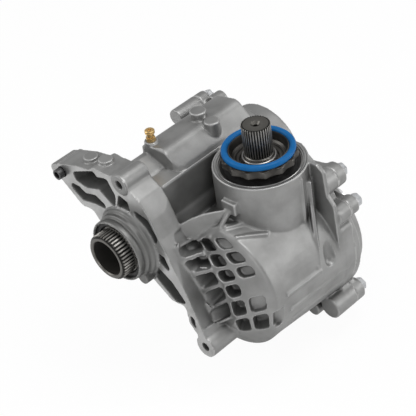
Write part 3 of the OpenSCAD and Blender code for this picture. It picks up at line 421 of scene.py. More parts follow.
@dataclass(frozen=True)
class SplinedSteel:
    """Dark shaft steel with bright spline crests and near-black grooves between them."""

    name: str
    along: Axis
    centre: Point
    root: float
    tip: float
    colour: Colour = (0.12, 0.115, 0.105)
    # The grooves between the teeth are near-black
    groove: Colour = (0.016, 0.016, 0.015)
    crest: Colour = (0.40, 0.39, 0.37)
    # Distances of each change of tone from the root or the tip of the splines
    below_root: Span = (-1.2 * MM, -0.4 * MM)
    below_tip: float = 0.25 * MM
    at_tip: Span = (-0.3 * MM, -0.05 * MM)
    clouds: Noise = (80.0, 3.0)
    worn_patches: Span = (0.25, 0.6)
    worn_edge: Span = (0.54, 0.66)
    edge_share: float = 0.6
    grain_per_metre: float = 1500.0
    metallic: float = 0.85
    rough: float = 0.3
    rough_grain: float = 0.14
    relief: Relief = (0.03 * MM, 0.6)

    def make(self) -> bpy.types.Material:
        """Builds the material.

        Returns:
            The material.
        """
        graph = Graph(bpy.data.materials.new(self.name))
        offset = graph.vector("SUBTRACT", graph.place(), self.centre)
        flat = graph.vector("MULTIPLY", offset, self.along.value)
        radius = graph.value("ShaderNodeVectorMath", {"operation": "LENGTH"}, {0: flat}, "Value")
        grain = graph.noise(self.grain_per_metre)
        blotch = graph.noise(*self.clouds)
        body = radius.between(*(self.root + step for step in self.below_root))
        base = graph.mix(body, self.colour, self.groove)
        flank = radius.between(self.root, self.tip - self.below_tip)
        base = graph.mix(flank, base, self.colour)
        crest = radius.between(*(self.tip + step for step in self.at_tip))
        base = graph.mix(crest * blotch.between(*self.worn_patches), base, self.crest)
        edge = graph.edges().between(*self.worn_edge) * self.edge_share
        base = graph.mix(edge, base, self.crest)
        rough = self.rough + self.rough_grain * grain
        normal = graph.bump(grain, *self.relief)
        return graph.finish(
            Base_Color=base, Metallic=self.metallic, Roughness=rough, Normal=normal
        )


@dataclass(frozen=True)
class Rubber:
    """Moulded rubber of one colour, with a faint matte grain."""

    name: str
    colour: Colour
    scuffed: Colour
    rough: float = 0.42
    shine: float = 0.35
    grain: Noise = (900.0, 3.0)
    scuffs: Noise = (110.0, 3.0)
    scuffed_from: Span = (0.5, 0.85)
    scuffed_share: float = 0.7
    rough_grain: float = 0.16
    relief: Relief = (0.04 * MM, 0.5)

    def make(self) -> bpy.types.Material:
        """Builds the material.

        Returns:
            The material.
        """
        graph = Graph(bpy.data.materials.new(self.name))
        grain = graph.noise(*self.grain)
        scuffs = graph.noise(*self.scuffs).between(*self.scuffed_from)
        base = graph.mix(scuffs * self.scuffed_share, self.colour, self.scuffed)
        rough = self.rough + self.rough_grain * grain
        normal = graph.bump(grain, *self.relief)
        return graph.finish(
            Base_Color=base, Roughness=rough, Normal=normal, Specular_IOR_Level=self.shine
        )


@dataclass(frozen=True)
class Brass:
    """Plain turned brass, tarnished in patches."""

    colour: Colour = (0.72, 0.50, 0.22)
    tarnish: Colour = (0.34, 0.20, 0.08)
    clouds: Noise = (300.0, 3.0)
    cloudy: Span = (0.45, 0.8)
    cloud_share: float = 0.8
    metallic: float = 0.9
    rough: float = 0.28
    rough_cloud: float = 0.15
    relief: Relief = (0.05 * MM, 0.4)

    def make(self) -> bpy.types.Material:
        """Builds the material.

        Returns:
            The material.
        """
        graph = Graph(bpy.data.materials.new("brass"))
        blotch = graph.noise(*self.clouds)
        clouds = blotch.between(*self.cloudy)
        base = graph.mix(clouds * self.cloud_share, self.colour, self.tarnish)
        rough = self.rough + self.rough_cloud * blotch
        normal = graph.bump(blotch, *self.relief)
        return graph.finish(
            Base_Color=base, Metallic=self.metallic, Roughness=rough, Normal=normal
        )


class Slot(Enum):
    """Finishes: those named as the record's material slots first, then the scene's own."""

    CAST = "cast_aluminium"
    DARK = "dark_steel"
    BEARING = "bearing_steel"
    FASTENER = "fastener_steel"
    BLACK = "black_steel"
    SEAL = "seal_rubber"
    BLUE = "blue_rubber"
    BRASS = "brass"
    MACHINED = "machined"
    INPUT = "input_spline"
    OUTPUT = "output_spline"
    POLISHED = "polished_steel"


def mm(*lengths: float) -> tuple[float, ...]:
    """Millimetres as metres."""
    return tuple(length * MM for length in lengths)


def link(name: str, data: bpy.types.ID) -> bpy.types.Object:
    """Makes an object and links it to the scene.

    Args:
        name: name of the object.
        data: its mesh, camera or lamp.

    Returns:
        The object.
    """
    made = bpy.data.objects.new(name, data)
    bpy.context.scene.collection.objects.link(made)
    return made


def to_mesh(name: str, shape: bmesh.types.BMesh) -> bpy.types.Mesh:
    """Turns a shape into a mesh.

    Args:
        name: name of the mesh.
        shape: the shape, which is freed.

    Returns:
        The mesh.
    """
    mesh = bpy.data.meshes.new(name)
    shape.to_mesh(mesh)
    shape.free()
    return mesh


class Workshop:
    """The frame's nodes and the finished materials, shared by every sub-assembly."""

    def __init__(self, frame: dict) -> None:
        """Keeps the frame and builds each finish once.
        """
        record = frame["record"]
        self.nodes: dict[str, bpy.types.Object] = frame["nodes"]
        self.bodies: dict[str, list[str]] = record["behaviour"]["bodies"]
        self.slots = {part["node"]: part["material_slot"] for part in record["subparts"]}
        self.materials = {slot: finish.make() for slot, finish in FINISHES.items()}

    def body_of(self, node: str) -> str:
        """Name of the body that a CAD node rides on."""
        return next(body for body, members in self.bodies.items() if node in members)

    def paint(self, node: str) -> None:
        """Gives a carried-over CAD node its own finish, or the finish of its slot.

        Args:
            node: name of the CAD node.
        """
        mesh = self.nodes[node].data
        mesh.materials.clear()
        mesh.materials.append(self.materials[OWN_FINISH.get(node, Slot(self.slots[node]))])
        LOG.info("kept %s", node)

    def add(
        self, name: str, shape: bmesh.types.BMesh, slot: Slot, replaced: str, sharp: float
    ) -> None:
        """Makes a piece that stands for one CAD node.

        Args:
            name: name of the new piece.
            shape: its mesh, which is freed.
            slot: its finish.
            replaced: the CAD node that it stands for.
            sharp: edges sharper than this many degrees stay crisp.
        """
        bmesh.ops.recalc_face_normals(shape, faces=shape.faces)
        self.dress(name, to_mesh(name, shape), [slot], replaced, sharp)

    def dress(
        self, name: str, mesh: bpy.types.Mesh, slots: list[Slot], replaced: str, sharp: float
    ) -> None:
        """Links a mesh as a piece and gives it finishes.

        Args:
            name: name of the new piece.
            mesh: its mesh.
            slots: its finishes, the first on every face.
            replaced: the CAD node that it stands for.
            sharp: edges sharper than this many degrees stay crisp.
        """
        made = link(name, mesh)
        for slot in slots:
            mesh.materials.append(self.materials[slot])
        mesh.polygons.foreach_set("use_smooth", [True] * len(mesh.polygons))
        mesh.set_sharp_from_angle(angle=math.radians(sharp))
        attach(made, self.body_of(replaced))
        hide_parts(replaced)
        LOG.info("built %s: %d faces", name, len(mesh.polygons))


def along_x(x: float = 0.0, y: float = 0.0, z: float = 0.0) -> Matrix:
    """Place whose own Z axis runs along +X from the given point."""
    return Matrix.Translation((x, y, z)) @ Matrix.Rotation(math.pi / 2, 4, "Y")


def stepped(radius: float, height: float, steps: Steps) -> Profile:
    """Profile that goes by steps in mm from a radius and a height."""
    return [(radius + out * MM, height + up * MM) for out, up in steps]


def around(radius: float, angle: float, z: float) -> Point:
    """Point at a radius and an angle about the Z axis."""
    return (radius * math.cos(angle), radius * math.sin(angle), z)


def loft(
    shape: bmesh.types.BMesh, place: Matrix, loops: list[list[Point]], closed: bool = False
) -> None:
    """Skins neighbouring loops of equal length.

    Args:
        shape: mesh that takes the faces.
        place: where the loops' own frame lies.
        loops: rings of points in order.
        closed: joins the last loop to the first; if not, flat caps close both ends.
    """
    rings = [[shape.verts.new(place @ Vector(p)) for p in loop] for loop in loops]
    pairs = list(zip(rings, rings[1:]))
    if closed:
        pairs.append((rings[-1], rings[0]))
    for low, high in pairs:
        for i in range(len(low)):
            j = (i + 1) % len(low)
            shape.faces.new((low[i], low[j], high[j], high[i]))
    if not closed:
        shape.faces.new(list(reversed(rings[0])))
        shape.faces.new(rings[-1])


def turn(
    shape: bmesh.types.BMesh,
    place: Matrix,
    profile: Profile,
    steps: int = 96,
    closed: bool = True,
) -> None:
    """Turns a profile about the place's Z axis.

    Args:
        shape: mesh that takes the faces.
        place: where the profile's own frame lies.
        profile: radius and height of each point.
        steps: number of points round the axis.
        closed: joins the profile's end to its start; if not, flat caps close both ends.
    """
    angles = [2 * math.pi * i / steps for i in range(steps)]
    loft(shape, place, [[around(r, a, z) for a in angles] for r, z in profile], closed)


def capsule(
    shape: bmesh.types.BMesh, start: Point, end: Point, radius: float, end_radius: float
) -> None:
    """Adds a rounded bar between two points, for a rib that blends into a casting.

    Args:
        shape: mesh that takes the faces.
        start: middle of the first round end.
        end: middle of the other.
        radius: radius at the start.
        end_radius: radius at the end.
    """
    span = Vector(end) - Vector(start)
    place = Matrix.Translation(start) @ span.to_track_quat("Z", "Y").to_matrix().to_4x4()
    quarter = [math.pi / 2 * k / BAR_STEPS for k in range(BAR_STEPS + 1)]
    profile = [(radius * math.sin(t), -radius * math.cos(t)) for t in quarter]
    profile += [
        (end_radius * math.cos(t), span.length + end_radius * math.sin(t)) for t in quarter
    ]
    rounded = [(max(reach, POINT_RADIUS), height) for reach, height in profile]
    turn(shape, place, rounded, BAR_POINTS, closed=False)


def plate(shape: bmesh.types.BMesh, outline: list[Point], across: Vector) -> None:
    """Adds a flat web.

    Args:
        shape: mesh that takes the faces.
        outline: points round the web's middle plane.
        across: direction and length of its thickness.
    """
    sides = [[tuple(Vector(p) + across * share) for p in outline] for share in (-0.5, 0.5)]
    loft(shape, Matrix.Identity(4), sides)


def rounded_box(span: Span, rise: Span, radius: float, steps: int = 6) -> Profile:
    """Outline of a rectangle with round corners.

    Args:
        span: its left and right side.
        rise: its lower and upper side.
        radius: radius of the corners, made smaller where they would meet.
        steps: number of points on each corner.

    Returns:
        The outline's points.
    """
    (left, right), (low, high) = span, rise
    radius = min(radius, (right - left) / CORNER_LIMIT, (high - low) / CORNER_LIMIT)
    middles = (
        (right - radius, high - radius),
        (left + radius, high - radius),
        (left + radius, low + radius),
        (right - radius, low + radius),
    )
    points = []
    for quarter, (x, y) in enumerate(middles):
        for step in range(steps):
            angle = math.pi / 2 * (quarter + step / (steps - 1))
            points.append((x + radius * math.cos(angle), y + radius * math.sin(angle)))
    return points


def islands(node: bpy.types.Object) -> list[tuple[Vector, Vector]]:
    """Boxes round the separate solids of a CAD node.

    Args:
        node: the CAD node's object.

    Returns:
        Lowest and highest corner of each solid.
    """
    work = bmesh.new()
    work.from_mesh(node.data)
    bmesh.ops.remove_doubles(work, verts=work.verts, dist=SAME_POINT)
    seen: set[int] = set()
    boxes = []
    for start in work.verts:
        if start.index in seen:
            continue
        group, edge = [], [start]
        seen.add(start.index)
        while edge:
            vert = edge.pop()
            group.append(vert.co.copy())
            for side in vert.link_edges:
                other = side.other_vert(vert)
                if other.index not in seen:
                    seen.add(other.index)
                    edge.append(other)
        low = Vector([min(p[k] for p in group) for k in range(3)])
        high = Vector([max(p[k] for p in group) for k in range(3)])
        boxes.append((low, high))
    work.free()
    return boxes


@dataclass(frozen=True)
class Splines:
    """Straight teeth round a shaft, five points a tooth."""

    teeth: int
    tip: float
    depth: float
    # Half widths at the tip and at the root, as shares of the pitch
    land: float = 0.2
    foot: float = 0.36

    @property
    def root(self) -> float:
        """Radius between the teeth."""
        return self.tip - self.depth

    def loop(self, z: float, low: float, high: float) -> list[Point]:
        """One loop of points.

        Args:
            z: height of the loop.
            low: radius between the teeth.
            high: radius at their tips.

        Returns:
            The loop; it is a plain ring where both radii are the same.
        """
        foot, land = self.foot, self.land
        tooth = ((-0.5, low), (-foot, low), (-land, high), (land, high), (foot, low))
        pitch = 2 * math.pi / self.teeth
        return [
            around(radius, (k + share) * pitch, z)
            for k in range(self.teeth)
            for share, radius in tooth
        ]

    def rings(self, profile: Profile) -> list[list[Point]]:
        """Plain rings with the teeth's own point count, one for each point of a profile."""
        return [self.loop(height, radius, radius) for radius, height in profile]


@dataclass(frozen=True)
class Layout:
    """Axes, faces and splines that the sub-assemblies share."""

    apex_x: float = 116 * MM
    ring_y: float = -72 * MM
    ring_z: float = -54 * MM
    joint_x: float = 161 * MM
    mouth_z: float = 56 * MM
    mouth_r: float = 40.5 * MM
    mouth_seat: float = 44.6 * MM
    mouth_step: float = 1.8 * MM
    pilot_x: float = -19.5 * MM
    input_splines: Splines = Splines(42, 24.3 * MM, 1.4 * MM)
    output_splines: Splines = Splines(34, 14.3 * MM, 1.15 * MM)

    @property
    def output_axis(self) -> Matrix:
        """Place on the output shaft's axis, at the height of the input's."""
        return Matrix.Translation((self.apex_x, self.ring_y, 0.0))


@dataclass
class Casting:
    """A casting: the CAD solid with its edges rounded as the foundry and wear leave them."""

    shop: Workshop
    layout: Layout
    node: str
    name: str
    grain: float = 0.85 * MM
    passes: int = 5
    softness: float = 0.5
    weld: float = 0.0005 * MM
    sharp: float = 60.0
    # How far points are drawn to the joint face and to an end face
    joint_reach: float = 0.6 * MM
    end_reach: float = 0.5 * MM
    # What counts as lying in a machined plane
    facing: float = 0.99
    level: float = 0.02 * MM

    def extras(self, shape: bmesh.types.BMesh) -> None:
        """Adds the small cast forms that blend into the solid."""

    def cuts(self, shape: bmesh.types.BMesh) -> None:
        """Adds the cutters of the hollows that the solid lacks."""

    def faces(self) -> list[tuple[int, float, float]]:
        """Machined planes: axis number, level and the reach within which points are drawn in."""
        return []

    def build(self) -> None:
        """Rounds, trims and dresses the casting."""
        shape = bmesh.new()
        shape.from_mesh(self.shop.nodes[self.node].data)
        bmesh.ops.remove_doubles(shape, verts=shape.verts, dist=self.weld)
        self.extras(shape)
        work = link(self.name + "_work", to_mesh(self.name + "_raw", shape))
        self.skin(work)
        cutter = self.cutter()
        if cutter:
            carve = work.modifiers.new("carve", "BOOLEAN")
            carve.operation = "DIFFERENCE"
            carve.solver = "MANIFOLD"
            carve.object = cutter
            self.skin(work)
        smooth = work.modifiers.new("round", "SMOOTH")
        smooth.factor = self.softness
        smooth.iterations = self.passes
        graph = bpy.context.evaluated_depsgraph_get()
        mesh = bpy.data.meshes.new_from_object(work.evaluated_get(graph))
        bpy.data.objects.remove(work)
        if cutter:
            bpy.data.objects.remove(cutter)
        mesh.materials.clear()
        self.flatten(mesh)
        self.shop.dress(self.name, mesh, [Slot.CAST, Slot.MACHINED], self.node, self.sharp)
        self.mark_machined(mesh)

    def skin(self, work: bpy.types.Object) -> None:
        """Lays one even skin over all the overlapping forms.

        Args:
            work: the object that holds them.
        """
        remesh = work.modifiers.new("skin", "REMESH")
        remesh.mode = "VOXEL"
        remesh.voxel_size = self.grain

    def cutter(self) -> bpy.types.Object | None:
        """Makes one object of all the cutters.

        Returns:
            The object, or nothing where there are no cutters.
        """
        shape = bmesh.new()
        self.cuts(shape)
        if shape.verts:
            return link(self.name + "_cutter", to_mesh(self.name + "_cuts", shape))
        shape.free()
        return None

    def flatten(self, mesh: bpy.types.Mesh) -> None:
        """Draws the points beside each machined plane onto it, and keeps all in the CAD box.

        Args:
            mesh: the rounded mesh.
        """
        low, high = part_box(self.node)
        flat = np.empty(len(mesh.vertices) * 3, dtype=np.float32)
        mesh.vertices.foreach_get("co", flat)
        points = flat.reshape(-1, 3)
        for axis, level, reach in self.faces():
            near = np.abs(points[:, axis] - level) < reach
            points[near, axis] = level
        limits = [np.array(corner, dtype=np.float32) for corner in (low, high)]
        np.clip(points, *limits, out=points)
        mesh.vertices.foreach_set("co", points.ravel())
        mesh.update()

    def mark_machined(self, mesh: bpy.types.Mesh) -> None:
        """Gives the machined finish to every face that lies in a machined plane.

        Args:
            mesh: the dressed mesh.
        """
        count = len(mesh.polygons)
        normals, centres = (np.empty(count * 3, dtype=np.float32) for _ in range(2))
        mesh.polygons.foreach_get("normal", normals)
        mesh.polygons.foreach_get("center", centres)
        normals, centres = normals.reshape(-1, 3), centres.reshape(-1, 3)
        slots = np.zeros(count, dtype=np.int32)
        for axis, level, _ in self.faces():
            flat = np.abs(normals[:, axis]) > self.facing
            slots[flat & (np.abs(centres[:, axis] - level) < self.level)] = 1
        mesh.polygons.foreach_set("material_index", slots)


@dataclass
class Housing(Casting):
    """The main casting with its pocketed end wall, neck, flange and top chamber."""

    face_reach: float = 0.45 * MM
    # End wall: a cone about the ring gear's axis, flat within cone_tip
    wall_x: float = 28 * MM
    wall_y: float = -64 * MM
    wall_z: float = -50 * MM
    cone_tip: float = 35 * MM
    cone_slope: float = 0.676
    # Reach and depth of the CAD wall's pockets, which are filled before new ones are cut
    pocket_zone: float = 66 * MM
    old_pocket: float = 10.5 * MM
    # Row ribs: places down the wall in mm, and ends at the side of the flange's band in mm
    row_bounds: tuple[float, ...] = (-52.0, -39.0, -25.0, -10.3, 6.5, 28.0, 51.0)
    band_ends: tuple[Point, ...] = (
        (9.8, -51.3, 7.5),
        (9.9, -56.3, -5.5),
        (16.4, -61.7, -23.6),
        (20.3, -68.6, -44.1),
        (23.4, -75.7, -64.3),
        (16.9, -83.0, -78.5),
    )
    # Column ribs: they bow by so many mm a square mm, above and below the row of the bend
    column_pitch: float = 18.0 * MM
    column_middle: float = 42.5 * MM
    middle_column: float = 1.5
    column_turn: Span = (0.9367, 0.3502)
    bend_row: float = -2.0
    bends: Span = (0.0125, 0.006)
    # Depth of each pocket in mm, row by row from the band outwards; none at 0
    pocket_depths: tuple[tuple[float, ...], ...] = (
        (12.0, 11.0, 3.5),
        (18.0, 12.0, 8.0),
        (20.0, 12.0, 7.0),
        (20.0, 12.0, 0.0),
        (20.0, 12.0, 5.0),
        (0.0, 12.0, 11.0, 6.0),
    )
    rib: float = 3.8 * MM
    draft: float = 1.0 * MM
    pocket_corner: float = 4.2 * MM
    # How far the cutters stand out of the wall and the mouth, and into the neck's bore
    clear: float = 3 * MM
    overlap: float = 2 * MM
    # Share of an open pocket's width that its slanted side takes at the floor
    open_slant: float = 0.38
    open_side: Point = (-1.0, -1.0, 1.0)
    ramp_depth: float = 15 * MM
    ramp_root: Span = mm(5, 6)
    # Ribs in mm: start, end, and the radius at each
    fan_ribs: tuple[tuple[Point, Point, float, float], ...] = (
        ((54, -72, 15), (67, -76, 32), 2.88, 2.4),
        ((54, -72, 15), (84, -90, 14.5), 2.4, 2.0),
        ((54, -72, 15), (40, -46, 3), 2.64, 2.2),
        ((62, -96, 10), (82, -107, 6), 2.2, 1.8),
    )
    band_rib: tuple[Point, Point, float, float] = (
        (22.5, -74.5, -57), (22.5, -76, -66), 4.0, 4.0
    )
    crest: float = 1.9 * MM
    crest_start: float = 0.2
    # Web from the band to the neck's boss: its ends, and its edge as shares of the way and mm
    web_start: Point = mm(28, -41, 0)
    web_end: Point = mm(66, -75, 0)
    web_edge: Steps = (
        (0.0, 20.0), (0.25, 26.0), (0.5, 29.5), (1.0, 31.0), (0.75, 10.0), (0.0, -2.0)
    )
    web: float = 2.6 * MM
    # Fill behind the chamber's sloping corner: ends in plan, heights and thickness
    fill_ends: tuple[Span, Span] = (mm(63.2, 32.9), mm(72.0, 42.8))
    fill_heights: Span = mm(28, 45)
    fill_across: Point = mm(-2.25, 1.99, 0)

    def faces(self) -> list[tuple[int, float, float]]:
        """Lists the machined planes, as in Casting.

        Returns:
            Flange face, joint face, pilot end and neck mouth.
        """
        plan = self.layout
        return [
            (0, 0.0, self.face_reach),
            (0, plan.joint_x, self.joint_reach),
            (0, plan.pilot_x, self.end_reach),
            (2, plan.mouth_z, self.face_reach),
        ]

    def extras(self, shape: bmesh.types.BMesh) -> None:
        """Adds the ribs, the end wall, the neck's web and the fill in the chamber.

        Args:
            shape: mesh that takes the faces.
        """
        for rib in self.fan_ribs:
            self.bar(shape, *rib)
        self.end_wall(shape)
        self.ramp(shape)
        self.bar(shape, *self.band_rib)
        crest = [self.wall_point(0, column) for column in range(3)]
        crest[0] = crest[0].lerp(crest[1], self.crest_start)
        for start, end in zip(crest, crest[1:]):
            capsule(shape, tuple(start), tuple(end), self.crest, self.crest)
        self.neck_web(shape)
        self.chamber_corner(shape)

    def bar(
        self, shape: bmesh.types.BMesh, start: Point, end: Point, radius: float, end_radius: float
    ) -> None:
        """Adds a rounded bar whose sizes are in mm."""
        capsule(shape, mm(*start), mm(*end), radius * MM, end_radius * MM)

    def end_wall(self, shape: bmesh.types.BMesh) -> None:
        """Adds the skin of the end wall, which fills the CAD wall's pockets.

        Args:
            shape: mesh that takes the faces.
        """
        edge_x = self.wall_x + (self.pocket_zone - self.cone_tip) * self.cone_slope
        front = [
            (POINT_RADIUS, self.wall_x), (self.cone_tip, self.wall_x), (self.pocket_zone, edge_x)
        ]
        back = [(radius, x + self.old_pocket) for radius, x in reversed(front)]
        turn(shape, along_x(0.0, self.layout.ring_y, self.layout.ring_z), front + back)

    def chamber_corner(self, shape: bmesh.types.BMesh) -> None:
        """Thickens the chamber's sloping corner from inside, where the oil space comes too near.

        Args:
            shape: mesh that takes the faces.
        """
        near, far = self.fill_ends
        low, high = self.fill_heights
        outline = [(*near, low), (*far, low), (*far, high), (*near, high)]
        plate(shape, outline, Vector(self.fill_across))

    def neck_web(self, shape: bmesh.types.BMesh) -> None:
        """Adds the thin upright web from the flange's band to the neck's boss, bowed on top.

        Args:
            shape: mesh that takes the faces.
        """
        start, end = Vector(self.web_start), Vector(self.web_end)
        run = end - start
        outline = [
            tuple(start + run * along + Vector((0.0, 0.0, height * MM)))
            for along, height in self.web_edge
        ]
        plate(shape, outline, Vector((-run.y, run.x, 0.0)).normalized() * self.web)

    def wall_point(self, row: int, column: int) -> Vector:
        """Point of the end wall where two of its ribs cross.

        Args:
            row: number of the rib between the rows, from the top.
            column: number of the rib between the columns, 0 at the side of the band.

        Returns:
            The point on the wall's face.
        """
        if column == 0:
            return Vector(self.band_ends[row]) * MM
        down = self.row_bounds[row]
        bend = self.bends[0 if down < self.bend_row else 1] * (down - self.bend_row) ** 2 * MM
        along = self.column_middle - bend + (column - self.middle_column) * self.column_pitch
        down *= MM
        cosine, sine = self.column_turn
        y = self.wall_y - cosine * along - sine * down
        z = self.wall_z + sine * along - cosine * down
        out = math.hypot(y - self.layout.ring_y, z - self.layout.ring_z)
        return Vector((self.wall_x + max(0.0, out - self.cone_tip) * self.cone_slope, y, z))

    def outward(self, row: int, column: int) -> Vector:
        """Direction out of the wall between four rib crossings.

        Args:
            row: row of the pocket between them, from the top.
            column: its column, from the band.

        Returns:
            The direction, one long.
        """
        corner = self.wall_point(row, column)
        along = self.wall_point(row, column + 1) - corner
        down = self.wall_point(row + 1, column) - corner
        out = along.cross(down).normalized()
        return out if out.dot(Vector(self.open_side)) > 0.0 else -out

    def ramp(self, shape: bmesh.types.BMesh) -> None:
        """Adds the wall between the side of the flange's band and the first column's rib.

        Args:
            shape: mesh that takes the faces.
        """
        loops = []
        last = len(self.band_ends) - 1
        aside, behind = self.ramp_root
        for row in range(last + 1):
            band, wall = self.wall_point(row, 0), self.wall_point(row, 1)
            run = Vector((0.0, band.y - wall.y, band.z - wall.z)).normalized()
            inward = -self.outward(min(row, last - 1), 0) * self.ramp_depth
            rooted = band + run * aside + Vector((behind, 0.0, 0.0))
            section = [rooted, band, wall, wall + inward, rooted + inward]
            loops.append([tuple(point) for point in section])
        loft(shape, Matrix.Identity(4), loops)

    def cuts(self, shape: bmesh.types.BMesh) -> None:
        """Adds the pockets of the end wall and the step in the neck's mouth.

        Args:
            shape: mesh of the cutters.
        """
        for row, depths in enumerate(self.pocket_depths):
            for column, depth in enumerate(depths):
                if depth:
                    self.pocket(shape, row, column, depth * MM)
        plan = self.layout
        inner, outer = plan.mouth_r - self.overlap, plan.mouth_seat
        low, high = plan.mouth_z - plan.mouth_step, plan.mouth_z + self.clear
        step = [(inner, low), (outer, low), (outer, high), (inner, high)]
        turn(shape, plan.output_axis, step)

    def pocket(self, shape: bmesh.types.BMesh, row: int, column: int, depth: float) -> None:
        """Adds a pocket with round corners; the first column's are open towards the band.

        Args:
            shape: mesh of the cutters.
            row: row from the top.
            column: column from the band.
            depth: depth behind the wall's face.
        """
        upper = [self.wall_point(row, column), self.wall_point(row, column + 1)]
        lower = [self.wall_point(row + 1, column), self.wall_point(row + 1, column + 1)]
        width = ((upper[1] - upper[0]).length + (lower[1] - lower[0]).length) / 2
        height = ((lower[0] - upper[0]).length + (lower[1] - upper[1]).length) / 2
        outward = self.outward(row, column)
        pull = -outward
        if column == 0:
            pull = (Vector((1.0, 0.0, 0.0)) - outward).normalized()
        loops = []
        for inset, shift, slant in (
            (0.0, outward * self.clear, 0.0),
            (self.draft, pull * depth, self.open_slant),
        ):
            side = self.rib / 2 + inset
            near = slant * width if column == 0 else side
            loop = []
            for x, y in rounded_box(
                (near, width - side), (side, height - side), self.pocket_corner
            ):
                top = upper[0].lerp(upper[1], x / width)
                foot = lower[0].lerp(lower[1], x / width)
                loop.append(tuple(top.lerp(foot, y / height) + shift))
            loops.append(loop)
        loft(shape, Matrix.Identity(4), loops)


@dataclass
class Cover(Casting):
    """The bolted side cover with its input dome."""

    grain: float = 1.1 * MM
    passes: int = 6

    def faces(self) -> list[tuple[int, float, float]]:
        """Joint face and the dome's end."""
        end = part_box(self.node)[1][0]
        return [(0, self.layout.joint_x, self.joint_reach), (0, end, self.end_reach)]


@dataclass
class InputShaft:
    """Hollow input shaft with its outer splines."""

    shop: Workshop
    layout: Layout
    bore: float = 18.5 * MM
    journal: float = 25.0 * MM
    spline_length: float = 16 * MM
    # Teeth begin at the entry, are full from the lead and run out before the splines' stop
    entry: float = 1.0 * MM
    entry_half: float = 0.1 * MM
    lead: float = 2.2 * MM
    run_out: float = 1.0 * MM
    run_out_rise: float = 0.6 * MM
    sharp: float = 32.0
    # Each chain of steps starts from the radius and place that its name gives
    bore_mouth: Steps = ((0.0, 1.0), (0.8, 0.0))
    root_start: Steps = ((-0.9, 0.0), (-0.3, 0.5))
    tip_stop: Steps = ((0.0, 0.6), (-0.7, 1.0), (-0.7, 2.0))
    journal_stop: Steps = ((-0.4, 2.2), (0.0, 2.6))
    journal_face: Steps = (
        (0.0, 16.0), (-1.5, 16.2), (-1.5, 147.0), (0.0, 147.2), (0.0, 152.0),
        (3.5, 152.2), (3.5, 155.0), (1.0, 155.1), (1.0, 174.0), (0.0, 174.1),
    )
    journal_end: Steps = ((0.0, -0.6), (-0.6, 0.0))
    bore_end: Steps = ((0.6, 0.0), (0.0, -0.6))

    def build(self) -> None:
        """Builds the shaft as one loft from bore to splines and back."""
        low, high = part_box("input_shaft")
        start, end = low[0], high[0]
        stop = start + self.spline_length
        splines = self.layout.input_splines
        root, tip = splines.root, splines.tip
        head = stepped(self.bore, start, self.bore_mouth) + stepped(root, start, self.root_start)
        tail = (
            stepped(tip, stop, self.tip_stop)
            + stepped(self.journal, stop, self.journal_stop)
            + stepped(self.journal, 0.0, self.journal_face)
            + stepped(self.journal, end, self.journal_end)
            + stepped(self.bore, end, self.bore_end)
        )
        teeth = [
            splines.loop(start + self.entry, root - self.entry_half, root + self.entry_half),
            splines.loop(start + self.lead, root, tip),
            splines.loop(stop - self.run_out, root, tip),
            splines.loop(stop, root + self.run_out_rise, tip),
        ]
        shape = bmesh.new()
        loops = splines.rings(head) + teeth + splines.rings(tail)
        loft(shape, along_x(), loops, closed=True)
        self.shop.add("hollow_input_shaft", shape, Slot.INPUT, "input_shaft", self.sharp)


